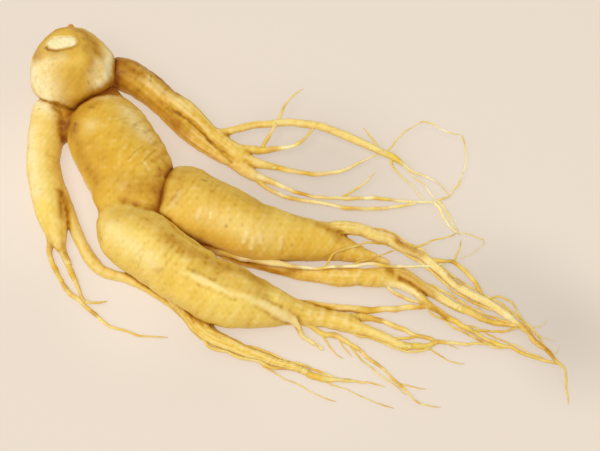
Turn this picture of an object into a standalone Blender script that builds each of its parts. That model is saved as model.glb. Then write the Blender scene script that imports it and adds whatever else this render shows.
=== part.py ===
"""A fresh ginseng root lying on a table, modelled as one grown solid.

The crown knob, body, two arms, two legs, middle root and rootlets are swept along hand-drawn
routes, joined by one Boolean union, and cut flat where they rest on the table.
X runs to the right along the legs, Y runs away from the viewer, Z is up. The origin is on the
table, under the middle of the whole root. Routes are in millimetres.
"""

import math
from typing import NamedTuple

import bmesh
import bpy
import numpy as np
from mathutils import Vector

MM = 0.001

# The crown knob: a lumpy ball with a flat scar where the stem was cut off. The rim where its
# lumps fade and the gap at its hidden pole are angles in radians.
HEAD_CENTRE = (-88.2, 62.0, 17.8)
HEAD_RADIUS = 18.0
SCAR_DIRECTION = (-0.26, 0.24, 0.935)
SCAR_RADIUS = 6.7
SCAR_RIM = 0.6
HEAD_POLE_GAP = 0.2
HEAD_LUMP_REACH = 9.0
HEAD_SIDES = 22
HEAD_RINGS = 13

# The bud at the back of the crown: each row is a share of its length and of its radius
BUD_DIRECTION = (-0.03, 0.80, 0.60)
BUD_RADIUS = 1.2
BUD_DEPTH = 2.0
BUD_HEIGHT = 1.2
BUD_PROFILE = ((0.0, 1.0), (0.4, 1.15), (0.75, 0.9), (1.0, 0.4))

# How closely the limbs are faceted
THICK_RING_STEP = 4.8
THIN_RING_STEP = 5.0
THIN_HALF_WIDTH = 0.55
SIDES_BY_HALF_WIDTH = ((9.0, 20), (4.5, 14), (2.8, 8), (1.6, 6), (0.0, 5))
CURVE_READINGS = 12
CREASE_ANGLE = math.radians(50)

# Gentle lumps on thick limbs, as a share of the half width
LUMP_SHARE = 0.022
LUMP_WAVES = ((31.0, 1, 0.4), (17.0, 2, 1.9), (23.0, 3, 4.1))

# The table, and the depth of the block that cuts the underside flat
TABLE_BLOCK = (300.0, 260.0, 20.0)

SKIN_COLOUR = (0.70, 0.47, 0.13, 1.0)
SKIN_ROUGHNESS = 0.5


class Limb(NamedTuple):
    """One swept limb: its route of (x, y, z, half width) and its height to width ratio."""

    route: tuple
    height: float = 1.0


TORSO = Limb(
    (
        (-84, 58, 15.5, 9), (-78, 51, 15, 10.5), (-74.5, 44.5, 14.5, 11.8),
        (-73.5, 38, 14, 14), (-72.5, 31.5, 13.8, 16), (-68.5, 24.5, 13.8, 16.4),
        (-64.5, 17.5, 13.8, 16.3), (-62, 11.5, 13.5, 16), (-59.5, 5.5, 13, 14.6),
        (-56.5, -1, 12, 11.4), (-55, -5, 11.5, 7),
    ),
    height=0.87,
)
RIGHT_LEG = Limb(
    (
        (-54, 11, 12, 7), (-47.5, 8, 12, 9.5), (-40.5, 4, 12, 11.4), (-30.5, -1.5, 12.3, 12.6),
        (-21.5, -6.5, 12.2, 12.5), (-12.5, -10.5, 11.5, 11.5), (-3, -11.5, 10, 10),
        (7, -12.5, 8.6, 8.4), (13.5, -13, 7.6, 7.4), (20.5, -14.5, 6, 5.3),
        (27.5, -16.5, 4.5, 3.5), (33.5, -17.5, 3.5, 2), (40.5, -19.5, 2.5, 0.8),
    )
)
FRONT_LEG = Limb(
    (
        (-69.5, 3, 11, 7.5), (-66, -4.5, 12.5, 10), (-61, -12.5, 12.8, 12.2),
        (-50, -20.5, 12.8, 12.7), (-42, -27, 12.6, 12.3), (-33, -34, 12.3, 12.2),
        (-22, -38.5, 11.8, 12), (-15.5, -40.5, 10.5, 10.5), (-7.5, -41.5, 8.5, 8),
        (0, -42, 6, 5.7), (6, -42.7, 4.8, 4.3), (12, -43.8, 4.1, 3.2),
    ),
    height=1.03,
)
LEFT_ARM = Limb(
    (
        (-80, 49, 14.5, 7), (-88.5, 47.5, 14, 7.6), (-94.5, 43, 12.4, 7.9), (-97, 38, 10.4, 7.8),
        (-98.8, 31.5, 8, 7.2), (-98.5, 23.5, 6.9, 6.8), (-96.5, 11.5, 6.4, 6.6),
        (-94.5, 3.5, 6, 6.2), (-92.5, -3, 5, 5.2), (-91, -9, 4, 3.4), (-90.5, -12, 3.4, 1.8),
    )
)
LEFT_SHOULDER = Limb(((-92, 46, 13, 6), (-86, 42, 13.4, 6.6), (-80, 38, 13.4, 6)))
RIGHT_ARM = Limb(
    (
        (-80, 55, 15, 6), (-70, 62.5, 13.5, 7), (-63.5, 61.5, 12, 6.8), (-57, 57.5, 10.5, 6.4),
        (-50.5, 53, 9.2, 6.6), (-44.5, 46.5, 8.2, 6.6), (-38, 41, 7.4, 5.4),
        (-33.5, 37, 6.8, 3.2),
    )
)
RIGHT_ARM_UPPER_STRAND = Limb(
    (
        (-51, 53, 9.5, 3), (-44, 49, 8.6, 4), (-36.5, 43.5, 7.6, 3.4), (-29.5, 36.5, 6.8, 3.2),
        (-22.5, 31, 6.2, 3.2), (-17.5, 27.5, 5.4, 2.4), (-12, 25.2, 4.9, 1.2),
    )
)
RIGHT_ARM_LOWER_STRAND = Limb(
    (
        (-51, 49, 8.4, 3), (-44, 42.5, 7.6, 4), (-37, 36, 6.8, 3.7), (-30, 31, 5.6, 2.8),
        (-23, 26, 4.8, 2.3), (-17, 21.5, 4.2, 1.9), (-11.5, 18, 3.7, 1),
    )
)
MIDDLE_ROOT = Limb(
    (
        (-24, -12, 8, 2), (-12.5, -21, 5.8, 1.9), (-4, -23.5, 5, 2.1), (5, -25, 4.6, 2.7),
        (13, -26, 4.4, 3.1), (21.5, -27, 4.1, 3.5), (29, -26.5, 4, 3.5), (36, -26.5, 3.8, 3.1),
        (41, -26.5, 3.5, 2.2),
    )
)
THICK_LIMBS = (TORSO, RIGHT_LEG, FRONT_LEG, LEFT_ARM, RIGHT_ARM)

# Rootlets of the left arm: the inner one, the long outer finger and the short cut finger
LEFT_ARM_ROOTLETS = (
    ((-95, 20, 6.5, 2.2), (-91.5, 13.5, 6, 2.3), (-88.5, 6, 4.5, 2.6), (-85, -2.5, 3.4, 2.4),
     (-81, -11.5, 3, 2.4), (-76.5, -19, 2.8, 2.6), (-71.5, -23.5, 2.6, 2.2),
     (-63.5, -26, 2.6, 2), (-57.5, -28.5, 2.6, 2.1), (-51.5, -32, 2.5, 2.3),
     (-45.5, -36, 2.4, 2.3), (-39.5, -42, 2.2, 1.8), (-34.5, -47.5, 2.2, 1.9),
     (-30, -51.5, 2.4, 1.6)),
    ((-92, -6, 4, 2.2), (-93.5, -11, 2.9, 1.7), (-93.7, -15, 2.2, 1.4), (-92, -19.5, 1.8, 1.3),
     (-88, -27, 1.6, 1.2), (-84.5, -32.5, 1.5, 1.2), (-80.5, -35.5, 1.5, 1.1),
     (-73, -42.5, 1.3, 1), (-67.5, -46.5, 1.2, 0.9), (-61.5, -48.5, 1.1, 0.8),
     (-55.5, -50.5, 1, 0.7), (-45.5, -51, 0.9, 0.5)),
    ((-91, -6, 4, 2.4), (-89.5, -11, 3.4, 2), (-88, -15.5, 2.6, 1.6), (-85.5, -20.5, 2.2, 1.5),
     (-83, -26.5, 2, 1.2), (-80.5, -32.5, 2.2, 1), (-78.5, -36, 2.6, 0.9),
     (-76, -37, 2.8, 0.8), (-69.5, -36.5, 2.6, 0.7)),
)

# Rootlets of the right arm: the long upper one, forks below it, and the lower pair that loops
RIGHT_ARM_ROOTLETS = (
    ((-31, 36, 7, 2), (-26, 38.5, 7.6, 1.8), (-21, 40, 7.8, 1.6), (-14, 42, 7.8, 1.6),
     (-7.5, 42.5, 7.8, 1.6), (0, 43.5, 7.6, 1.6), (6, 43, 7.4, 1.6), (13, 42, 7, 1.7),
     (18.5, 40, 6.6, 1.7), (25.5, 37, 6, 1.7), (32, 34, 5.4, 1.6), (39, 30.5, 4.8, 1.6),
     (43.5, 28, 4.4, 1.4), (47.5, 25, 4, 1.1), (50.5, 22.5, 3.6, 0.8), (55, 20.5, 3.3, 0.7),
     (58.5, 18.5, 3, 0.6), (62, 16, 2.8, 0.6), (65, 11.5, 2.8, 0.6)),
    ((-23, 31, 6.3, 2.2), (-15.5, 31, 6.4, 1.8), (-9, 30.5, 6.4, 1.5), (-4.5, 31.5, 6.4, 1.3),
     (0, 32, 6.6, 1.2), (4, 33.5, 6.8, 1.1), (7.5, 36.5, 7, 0.9), (11, 41.5, 7.1, 0.8)),
    ((-10.5, 30.8, 6.4, 1.2), (-9, 34.5, 7, 1.1), (-7.5, 37.5, 7.6, 1.1), (-5.5, 41, 8, 1.2),
     (-4, 44.5, 8.2, 1.1), (-2, 49.5, 8.4, 0.9), (0.5, 54.5, 8.2, 0.7), (3.5, 58, 7.8, 0.6),
     (6.5, 60.5, 7.4, 0.5)),
    ((-21.5, 29, 5.8, 2.6), (-16.5, 26.2, 5.2, 2), (-11, 25, 4.8, 1.7), (-4.5, 23.5, 4.5, 1.5),
     (5, 21.5, 4, 1.2), (13, 21, 3.6, 1.1), (22, 22.5, 3.6, 1), (28, 25.5, 4, 0.9),
     (33, 28, 4.4, 0.7), (38.5, 30.5, 4.8, 0.6)),
    ((-20, 25, 5, 2.2), (-13.5, 20, 4.4, 1.8), (-7.5, 17.5, 4, 1.4), (-3, 15.5, 3.8, 1.2),
     (2, 13, 3.6, 1.1), (8, 11, 3.5, 1), (14, 10, 3.5, 1), (23.5, 9.5, 3.4, 1),
     (31, 10, 3.2, 1), (39, 9.5, 3, 1), (48, 8.5, 2.8, 0.9), (57, 8.5, 2.6, 0.8),
     (61.5, 9.5, 2.6, 0.7), (65, 11, 2.8, 0.7), (67, 14, 3, 0.7), (69, 16.5, 3.4, 0.7),
     (71.5, 23, 4, 0.6), (72.5, 28, 4.5, 0.6), (72.5, 33.5, 5, 0.6), (71.5, 39, 5.4, 0.5)),
    ((-18.5, 23.5, 4.4, 1.8), (-14, 20.5, 3.6, 1.6), (-10, 16, 3.1, 1.3), (-4.5, 12.5, 2.8, 1.2),
     (2, 10, 2.5, 1.1), (8, 9, 2.3, 1), (17, 7.5, 2.2, 1), (23, 6, 2.2, 1.1),
     (29.5, 5.5, 2.2, 1.1), (36, 5.5, 2.2, 1), (42, 6, 2.3, 0.9), (48, 7.2, 2.5, 0.8),
     (54, 8.3, 2.6, 0.6)),
    ((20.5, 9.6, 3.5, 0.8), (26, 12.5, 4, 0.8), (30.5, 15.5, 4.6, 0.7), (33.5, 18.5, 5, 0.6),
     (35.5, 21, 5.2, 0.5)),
    ((40, 30, 4.9, 0.7), (43.5, 34.5, 5.8, 0.6), (47, 38.5, 6.4, 0.6), (51.5, 42, 6.8, 0.6),
     (55, 44.3, 6.8, 0.6), (58, 44.2, 6.5, 0.6), (62, 42, 6, 0.6), (66, 39.8, 5.7, 0.6),
     (71, 38.7, 5.4, 0.6)),
    ((42, 28.5, 4.5, 1), (43, 24, 4, 0.7), (46.5, 19.5, 3.4, 0.6), (50, 16, 3, 0.6),
     (52.5, 12.5, 2.7, 0.6), (55.5, 8.8, 2.6, 0.6)),
    ((45.5, 26.5, 4.2, 0.8), (49, 22.5, 3.6, 0.6), (51.5, 19.5, 3.2, 0.6), (55, 16.5, 2.9, 0.6),
     (57.5, 12.5, 2.7, 0.6), (60, 9.2, 2.6, 0.6)),
    ((58, 9, 2.6, 1), (60.5, 6.5, 2.2, 1), (62, 3, 1.8, 0.9), (64, -1.5, 1.8, 0.8),
     (66, -4.5, 2.8, 0.7), (67.5, -6.5, 3.8, 0.6)),
)

# Roots from the end of the right leg: the upper one runs on to the far tip of the bundle
RIGHT_LEG_ROOTLETS = (
    ((7, -11.5, 10.5, 2.4), (12, -9.5, 11.3, 2.4), (17, -8.8, 11.2, 2.6), (22.5, -8, 10.5, 2.7),
     (29, -8.5, 9.5, 2.5), (35, -10.5, 8.2, 2.5), (40, -11.5, 7.2, 2.4), (44, -14, 6.3, 2),
     (48.5, -16, 5.6, 1.8), (53.5, -18.5, 5, 1.7), (59, -23.5, 4.4, 1.8), (65, -29.5, 3.8, 1.7),
     (72, -34.5, 3.4, 1.7), (78, -37.5, 3, 1.7), (83, -41, 2.7, 1.7), (87, -44.5, 2.4, 1.5),
     (91.5, -48.5, 2.2, 1.3), (95, -53, 2, 1.2), (98.5, -57, 1.8, 1.1), (102, -61, 1.6, 0.9),
     (105, -64, 1.4, 0.8), (105.8, -68.5, 1.2, 0.7), (105.8, -74, 1, 0.6), (105.5, -79, 0.9, 0.5)),
    ((54, -19, 5, 1.4), (57.5, -19.5, 5, 1.2), (61.5, -20, 5, 1), (65.5, -21, 4.8, 1),
     (69.5, -24, 4.4, 1.2), (73, -29, 4, 1.2), (76, -34.5, 3.5, 1)),
    ((78, -36, 3.2, 0.8), (82, -34.5, 3.2, 0.7), (86, -36.5, 2.9, 0.7), (88.5, -40.5, 2.6, 0.7),
     (91, -46, 2.4, 0.7)),
    ((44, -14, 6.4, 1), (50.5, -14, 6, 0.8), (54.5, -12.5, 5.4, 0.7), (58, -10.5, 5, 0.6),
     (63.5, -8.5, 4.4, 0.6), (68, -6.4, 3.9, 0.6)),
    ((61, -20.3, 5, 0.8), (65, -20, 5.2, 0.7), (66.3, -17.5, 5.4, 0.7), (68, -14, 5.2, 0.6),
     (68.5, -10, 4.8, 0.5)),
    ((15, -24, 9, 0.8), (18, -19.8, 10, 0.8), (21.5, -18, 10.6, 0.9), (26, -15.8, 9.6, 0.8),
     (29, -14.5, 9, 0.7), (32.5, -13.5, 8.4, 0.7), (37.5, -13.5, 7.4, 0.7), (43, -14.6, 6.5, 0.7)),
    ((25, -24, 8.6, 0.7), (30.5, -20.5, 7.2, 0.6), (35.5, -18.5, 6.8, 0.6), (39.5, -16.8, 6.4, 0.6),
     (45, -15, 6.2, 0.6)),
)

# The pale rootlet in the fork between the legs, and the roots that the middle root splits into
MIDDLE_ROOTLETS = (
    ((-38, -9, 8, 1.3), (-34.5, -14.5, 8, 1.2), (-29, -17, 8.5, 1.2), (-23.5, -18.7, 8.8, 1.3),
     (-18.5, -20.3, 8.8, 1.3), (-10, -21.8, 8.5, 1.3), (-4, -23, 8.3, 1.3), (2, -24, 8.2, 1.2),
     (11, -25, 8.3, 1.2), (17.5, -24.5, 8.6, 1.1), (26, -24, 8.7, 1), (31.5, -23, 8.4, 0.9),
     (41.5, -23.5, 7.2, 0.9), (53.5, -22.5, 5.4, 0.8), (62, -21, 4.9, 0.7)),
    ((33, -25.5, 4.2, 2.3), (41.5, -24.5, 4.2, 2.3), (46.5, -26, 4, 2.3), (51, -29, 3.6, 2.1),
     (56.5, -33, 3.2, 1.9), (63.5, -37.5, 2.7, 1.7), (69, -40.5, 2.4, 1.5), (75, -43.5, 2.1, 1.3),
     (81, -45.5, 1.9, 1.2), (89.5, -47, 2, 0.9), (93.5, -50, 2, 0.7)),
    ((31, -27.5, 3.6, 2.3), (37.5, -27.8, 3.4, 2.3), (43.5, -29, 3, 1.9), (49, -32, 2.6, 1.7),
     (52.5, -35, 2.3, 1.6), (56.5, -39, 2, 1.4), (61.5, -42.5, 1.8, 1.3), (65.5, -45.5, 1.7, 1.3),
     (70.5, -48.5, 1.6, 1.3), (75, -51, 1.5, 1.1), (80.5, -54, 1.4, 1.1), (85, -55.5, 1.3, 1),
     (89, -57.5, 1.2, 0.9), (94, -59.5, 1.1, 0.8), (98.5, -61, 1.1, 0.8), (103, -62.5, 1.3, 0.7)),
    ((37, -28, 3.2, 1), (40.5, -32, 2.6, 0.9), (45.5, -34.5, 2.3, 1), (50, -36.5, 2.1, 0.9),
     (55, -38, 2, 0.8)),
    ((69.5, -48, 1.8, 0.8), (76, -49, 2, 0.8), (83.5, -48.7, 2.1, 0.8), (89.5, -47.2, 2, 0.7)),
)

# Roots from the foot of the front leg
FRONT_LEG_ROOTLETS = (
    ((-3, -39.5, 6, 2.2), (3, -38.5, 4.6, 1.7), (7.5, -38, 4, 1.5), (15, -39, 3.2, 1.5),
     (24.5, -39.5, 2.6, 1.5), (32, -40, 2.4, 1.5), (41.5, -39.5, 2.2, 1.3), (48.5, -38.5, 2.1, 1.2),
     (57, -38.8, 2, 1)),
    ((-3, -42, 6, 4), (3.5, -42.5, 5, 3.8), (12, -44, 4, 3.6), (20.5, -46, 3.6, 3.3),
     (27, -48, 3.1, 2.7), (32, -49.5, 2.8, 2.2), (38, -52, 2.4, 1.9), (42.5, -54.5, 2.1, 1.7),
     (47.5, -55.5, 1.9, 1.5), (53, -55, 1.8, 1.2), (57.5, -53.5, 1.8, 1.1), (63, -53.5, 1.6, 1),
     (68.5, -54, 1.5, 0.9), (74.5, -54, 1.4, 0.8), (81, -54.5, 1.4, 0.8)),
    ((18, -44.5, 3.6, 2.2), (22.5, -44, 3.4, 1.9), (27.5, -43.5, 3, 1.7), (32.5, -44, 2.7, 1.4),
     (38.5, -45.5, 2.5, 1.3), (44, -48, 2.3, 1.2), (50.5, -51, 2.1, 1.1), (58, -53.3, 1.9, 0.9)),
    ((37, -52, 2.6, 0.9), (42, -52.3, 2.5, 0.9), (46, -52, 2.4, 0.9), (51, -51.2, 2.2, 0.8)),
    ((49.5, -55.2, 1.9, 0.9), (54, -56, 1.4, 0.7), (57.5, -58, 1, 0.6), (61, -60.5, 0.9, 0.5),
     (64, -62, 0.8, 0.5), (67.5, -62, 0.8, 0.5)),
    ((1.5, -43.5, 5, 1.6), (4.5, -46, 3.8, 1.3), (9, -47.5, 3, 1.2), (14, -50, 2.4, 1.2),
     (19, -51, 2.2, 1.3), (23.5, -54, 1.9, 1.1), (28, -57, 1.6, 1.1), (31.5, -60.5, 1.4, 1),
     (36.5, -64.5, 1.3, 0.9), (41, -69, 1.2, 0.8), (44, -72.5, 1.1, 0.8), (46.5, -75.5, 1, 0.7),
     (50, -78.5, 0.9, 0.6), (57.5, -80, 0.8, 0.5)),
    ((24.5, -55.3, 1.7, 0.8), (28.5, -60.5, 1.3, 0.6), (34, -66, 1.1, 0.6), (37.5, -68.5, 1, 0.6),
     (41, -71.5, 0.9, 0.5), (45, -75, 0.9, 0.5)),
    ((41.5, -70, 1.1, 0.6), (46, -71.3, 0.9, 0.5), (52.5, -72.5, 0.8, 0.5)),
    ((13.5, -50, 2.2, 0.8), (17.5, -57, 1.2, 0.6), (21.5, -60, 0.9, 0.5)),
)

# The pale ridge over the front leg, which leaves it as a rootlet
RIDGE_ROOTLET = (
    (-43, -32, 22.5, 1.6), (-39.5, -34.5, 23.6, 1.4), (-32.5, -38, 23.1, 1.6),
    (-25, -41.5, 22.3, 1.8), (-17.5, -43.7, 20.3, 1.9), (-9.5, -45, 16.5, 2),
    (-3.5, -46, 12.8, 2.3), (1, -47, 9.4, 2.2), (4, -49, 6.8, 1.6), (6, -52, 4, 1),
    (10.5, -54.5, 2.4, 0.8), (14, -56.5, 1.4, 0.6),
)

# The bundle that leaves the front leg's underside, with its side strands
LOWER_BUNDLE = (
    ((-42, -38, 7, 3.5), (-37, -42.5, 4.4, 3.8), (-33, -48, 3.7, 3.6), (-28, -52, 3.4, 3.4),
     (-21.5, -55, 3, 3), (-16, -57.5, 2.7, 2.7), (-10, -59.5, 2.4, 2.3), (-4, -62, 2, 1.9),
     (3, -64, 1.8, 1.6), (9, -66.5, 1.6, 1.5), (12.5, -68, 1.5, 1.4), (18, -69, 1.3, 1.1),
     (26.5, -69.5, 1, 0.8), (33.5, -70.5, 0.9, 0.6), (37, -71.5, 0.8, 0.5)),
    ((12, -67.8, 1.5, 1), (18, -71, 1, 0.6), (22, -72.5, 0.9, 0.5), (27.5, -75, 0.8, 0.5),
     (33, -78, 0.8, 0.5), (40, -80.3, 0.8, 0.5)),
    ((-12, -59.5, 2, 1), (-8, -64, 1.2, 0.7), (-2.5, -67, 1, 0.6), (4.5, -71, 0.9, 0.5),
     (12, -75, 0.8, 0.5), (18.5, -77.5, 0.8, 0.5)),
    ((-33, -48.5, 5, 1.4), (-30.5, -50, 5.8, 1.3), (-27.5, -51.7, 5.8, 1.3), (-24, -53.5, 5.1, 1.2),
     (-20, -55.5, 4, 1.2)),
)


def smooth_route(points: np.ndarray, step: float) -> np.ndarray:
    """Reads a Catmull-Rom curve through the points at equal steps of its length.

    Args:
        points: One row (x, y, z, half width) for each point of the route.
        step: The wanted distance between rows, in millimetres.

    Returns:
        Evenly spaced rows (x, y, z, half width), with both ends kept.
    """
    ends = (2 * points[:1] - points[1:2], points, 2 * points[-1:] - points[-2:-1])
    knots = np.concatenate(ends)
    u = np.linspace(0, 1, CURVE_READINGS, endpoint=False)[:, None]
    parts = []
    for a, b, c, d in zip(knots, knots[1:], knots[2:], knots[3:]):
        curve = 2 * b + (c - a) * u + (2 * a - 5 * b + 4 * c - d) * u**2
        parts.append(0.5 * (curve + (3 * b - a - 3 * c + d) * u**3))
    fine = np.concatenate(parts + [points[-1:]])
    run = np.concatenate(([0.0], np.cumsum(np.linalg.norm(np.diff(fine[:, :3], axis=0), axis=1))))
    count = max(3, round(run[-1] / step) + 1)
    at = np.linspace(0, run[-1], count)
    return np.stack([np.interp(at, run, fine[:, k]) for k in range(4)], axis=1)


def unit(rows: np.ndarray) -> np.ndarray:
    """Scales each row to length one."""
    return rows / np.linalg.norm(rows, axis=-1, keepdims=True)


def sides_for(half_width: float) -> int:
    """Gives the number of sides that a limb of this half width is swept with."""
    return next(sides for least, sides in SIDES_BY_HALF_WIDTH if half_width >= least)


def lumps(along: np.ndarray, around: np.ndarray) -> np.ndarray:
    """Gives low swellings: a sum of waves that run along and around a limb."""
    total = np.zeros(np.broadcast_shapes(along.shape, around.shape))
    for length, turns, phase in LUMP_WAVES:
        total += np.sin(math.tau * along / length + turns * around + phase)
    return total


def mesh_object(name: str, points: np.ndarray, rings: int, sides: int) -> bpy.types.Object:
    """Closes a grid of ring points with two end faces and makes it an object.

    Args:
        name: The object's name.
        points: Ring after ring of points, in millimetres.
        rings: The number of rings.
        sides: The number of points in a ring.

    Returns:
        The new object, with its faces pointing out, not yet in a collection.
    """
    faces = []
    for i in range(rings - 1):
        for j in range(sides):
            k = (j + 1) % sides
            faces.append((i * sides + j, i * sides + k, (i + 1) * sides + k, (i + 1) * sides + j))
    faces.append(tuple(reversed(range(sides))))
    faces.append(tuple(range((rings - 1) * sides, rings * sides)))
    mesh = bpy.data.meshes.new(name)
    mesh.from_pydata((points * MM).tolist(), [], faces)
    shell = bmesh.new()
    shell.from_mesh(mesh)
    bmesh.ops.recalc_face_normals(shell, faces=shell.faces)
    shell.to_mesh(mesh)
    shell.free()
    return bpy.data.objects.new(name, mesh)


def swept_limb(name: str, limb: Limb) -> bpy.types.Object:
    """Sweeps an oval section along a limb's route, with low lumps on the thick ones."""
    route = np.array(limb.route, float)
    widest = route[:, 3].max()
    thick = limb in THICK_LIMBS
    rows = smooth_route(route, THICK_RING_STEP if thick else THIN_RING_STEP)
    sides = sides_for(widest)
    rings = len(rows)
    centre, half = rows[:, :3], np.maximum(rows[:, 3], THIN_HALF_WIDTH)
    tangent = unit(np.gradient(centre, axis=0))
    side = unit(np.cross(tangent, (0.0, 0.0, 1.0)))
    up = np.cross(side, tangent)
    turn = np.arange(sides) / sides * math.tau
    along = np.arange(rings)[:, None] * THICK_RING_STEP
    swell = half[:, None] * (1 + (LUMP_SHARE * lumps(along, turn[None, :]) if thick else 0.0))
    across = (swell * np.cos(turn))[:, :, None] * side[:, None, :]
    rise = (swell * np.sin(turn) * limb.height)[:, :, None] * up[:, None, :]
    points = centre[:, None, :] + across + rise
    return mesh_object(name, points.reshape(-1, 3), rings, sides)


def crown_knob() -> bpy.types.Object:
    """Turns the lumpy ball of the crown about its scar's axis, ending in the flat scar."""
    axis = unit(np.array(SCAR_DIRECTION))
    first = unit(np.cross(axis, (0.0, 0.0, 1.0)))
    second = np.cross(axis, first)
    last = math.asin(SCAR_RADIUS / HEAD_RADIUS)
    polar = np.linspace(math.pi - HEAD_POLE_GAP, last, HEAD_RINGS)[:, None]
    turn = (np.arange(HEAD_SIDES) / HEAD_SIDES * math.tau)[None, :]
    fade = np.clip((polar - last) / SCAR_RIM, 0, 1)
    radius = HEAD_RADIUS * (1 + LUMP_SHARE * fade * lumps(polar * HEAD_LUMP_REACH, turn))
    out = np.cos(turn)[:, :, None] * first + np.sin(turn)[:, :, None] * second
    points = (radius * np.sin(polar))[:, :, None] * out + (radius * np.cos(polar))[:, :, None] * axis
    points = points.reshape(-1, 3) + HEAD_CENTRE
    return mesh_object("crown knob", points, HEAD_RINGS, HEAD_SIDES)


def bud() -> bpy.types.Object:
    """Makes the small bud at the back of the crown, sunk half into it."""
    direction = unit(np.array(BUD_DIRECTION))
    base = np.array(HEAD_CENTRE) + (HEAD_RADIUS - BUD_DEPTH) * direction
    tip = np.array(HEAD_CENTRE) + (HEAD_RADIUS + BUD_HEIGHT) * direction
    route = tuple(
        (*(base + (tip - base) * share), BUD_RADIUS * width) for share, width in BUD_PROFILE
    )
    return swept_limb("bud", Limb(route))


def all_limbs() -> list:
    """Sweeps every limb but the torso."""
    named = {
        "right leg": RIGHT_LEG,
        "front leg": FRONT_LEG,
        "left arm": LEFT_ARM,
        "left shoulder": LEFT_SHOULDER,
        "right arm": RIGHT_ARM,
        "right arm upper strand": RIGHT_ARM_UPPER_STRAND,
        "right arm lower strand": RIGHT_ARM_LOWER_STRAND,
        "middle root": MIDDLE_ROOT,
        "ridge rootlet": Limb(RIDGE_ROOTLET),
    }
    groups = (
        LEFT_ARM_ROOTLETS, RIGHT_ARM_ROOTLETS, RIGHT_LEG_ROOTLETS,
        MIDDLE_ROOTLETS, FRONT_LEG_ROOTLETS, LOWER_BUNDLE,
    )
    for group in groups:
        for route in group:
            named[f"rootlet {len(named)}"] = Limb(route)
    return [swept_limb(name, limb) for name, limb in named.items()] + [crown_knob(), bud()]


def table_block() -> bpy.types.Object:
    """Makes the block under the table top, which cuts the resting spots flat."""
    block = bmesh.new()
    bmesh.ops.create_cube(block, size=1.0)
    bmesh.ops.scale(block, vec=Vector(TABLE_BLOCK) * MM, verts=block.verts)
    bmesh.ops.translate(block, vec=(0, 0, -0.5 * TABLE_BLOCK[2] * MM), verts=block.verts)
    mesh = bpy.data.meshes.new("table block")
    block.to_mesh(mesh)
    block.free()
    return bpy.data.objects.new("table block", mesh)


def apply_boolean(body: bpy.types.Object, tools: list, operation: str) -> None:
    """Joins or cuts a body with a collection of tool objects, then removes the tools."""
    group = bpy.data.collections.new(operation)
    bpy.context.scene.collection.children.link(group)
    for tool in tools:
        group.objects.link(tool)
    modifier = body.modifiers.new(operation, "BOOLEAN")
    modifier.operation = operation
    modifier.operand_type = "COLLECTION"
    modifier.collection = group
    modifier.solver = "EXACT"
    modifier.use_self = True
    graph = bpy.context.evaluated_depsgraph_get()
    result = bpy.data.meshes.new_from_object(body.evaluated_get(graph))
    body.modifiers.clear()
    old = body.data
    body.data = result
    bpy.data.meshes.remove(old)
    for tool in tools:
        bpy.data.objects.remove(tool)
    bpy.data.collections.remove(group)


def skin_material() -> bpy.types.Material:
    """Makes the plain cream-yellow skin."""
    material = bpy.data.materials.new("root skin")
    material.use_nodes = True
    shader = material.node_tree.nodes["Principled BSDF"]
    shader.inputs["Base Color"].default_value = SKIN_COLOUR
    shader.inputs["Roughness"].default_value = SKIN_ROUGHNESS
    shader.inputs["Metallic"].default_value = 0.0
    return material


def main() -> None:
    """Builds the whole root as one object."""
    for old in list(bpy.data.objects):
        bpy.data.objects.remove(old)
    root = swept_limb("ginseng_root", TORSO)
    bpy.context.scene.collection.objects.link(root)
    apply_boolean(root, all_limbs(), "UNION")
    apply_boolean(root, [table_block()], "DIFFERENCE")
    root.data.materials.clear()
    root.data.materials.append(skin_material())
    root.data.shade_smooth()
    root.data.set_sharp_from_angle(angle=CREASE_ANGLE)


main()
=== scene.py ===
"""The finished ginseng root: its skin, rootlets and hairs, on a pale floor in soft side light.

Three closed skins carry the thick forms: the crown knob, the trunk with both arms and the front
leg, and the right leg with the roots that leave it. Each is where the smooth minimum of its
forms' distances is zero. Rootlets and hairs are tubes swept along their routes.
Lengths are in millimetres until a mesh is made, and routes are rows of (x, y, z, half width).
"""

import logging
import math
from dataclasses import dataclass, field
from enum import Enum
from typing import Iterable, NamedTuple, Optional, Union

import bpy
import numpy as np
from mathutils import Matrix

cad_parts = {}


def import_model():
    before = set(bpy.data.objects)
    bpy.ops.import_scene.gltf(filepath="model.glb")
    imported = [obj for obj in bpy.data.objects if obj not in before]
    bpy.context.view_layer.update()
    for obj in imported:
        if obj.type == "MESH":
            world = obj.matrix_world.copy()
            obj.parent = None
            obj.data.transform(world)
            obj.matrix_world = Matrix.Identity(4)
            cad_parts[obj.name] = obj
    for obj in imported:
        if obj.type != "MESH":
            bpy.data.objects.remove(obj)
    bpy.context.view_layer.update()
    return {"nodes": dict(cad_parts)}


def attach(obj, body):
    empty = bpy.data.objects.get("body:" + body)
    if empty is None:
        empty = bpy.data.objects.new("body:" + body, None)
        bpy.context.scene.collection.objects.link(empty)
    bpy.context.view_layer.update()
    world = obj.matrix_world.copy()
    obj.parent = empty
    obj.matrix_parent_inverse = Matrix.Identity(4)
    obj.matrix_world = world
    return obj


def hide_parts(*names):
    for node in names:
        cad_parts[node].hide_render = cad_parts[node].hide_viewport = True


MM = 0.001
NODE = "ginseng_root"
BODY = "root"
LOG = logging.getLogger("ginseng")

Array = np.ndarray
Socket = bpy.types.NodeSocket
Point = tuple[float, float, float]
Rgb = tuple[float, float, float]
Route = tuple[tuple[float, float, float, float], ...]

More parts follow.
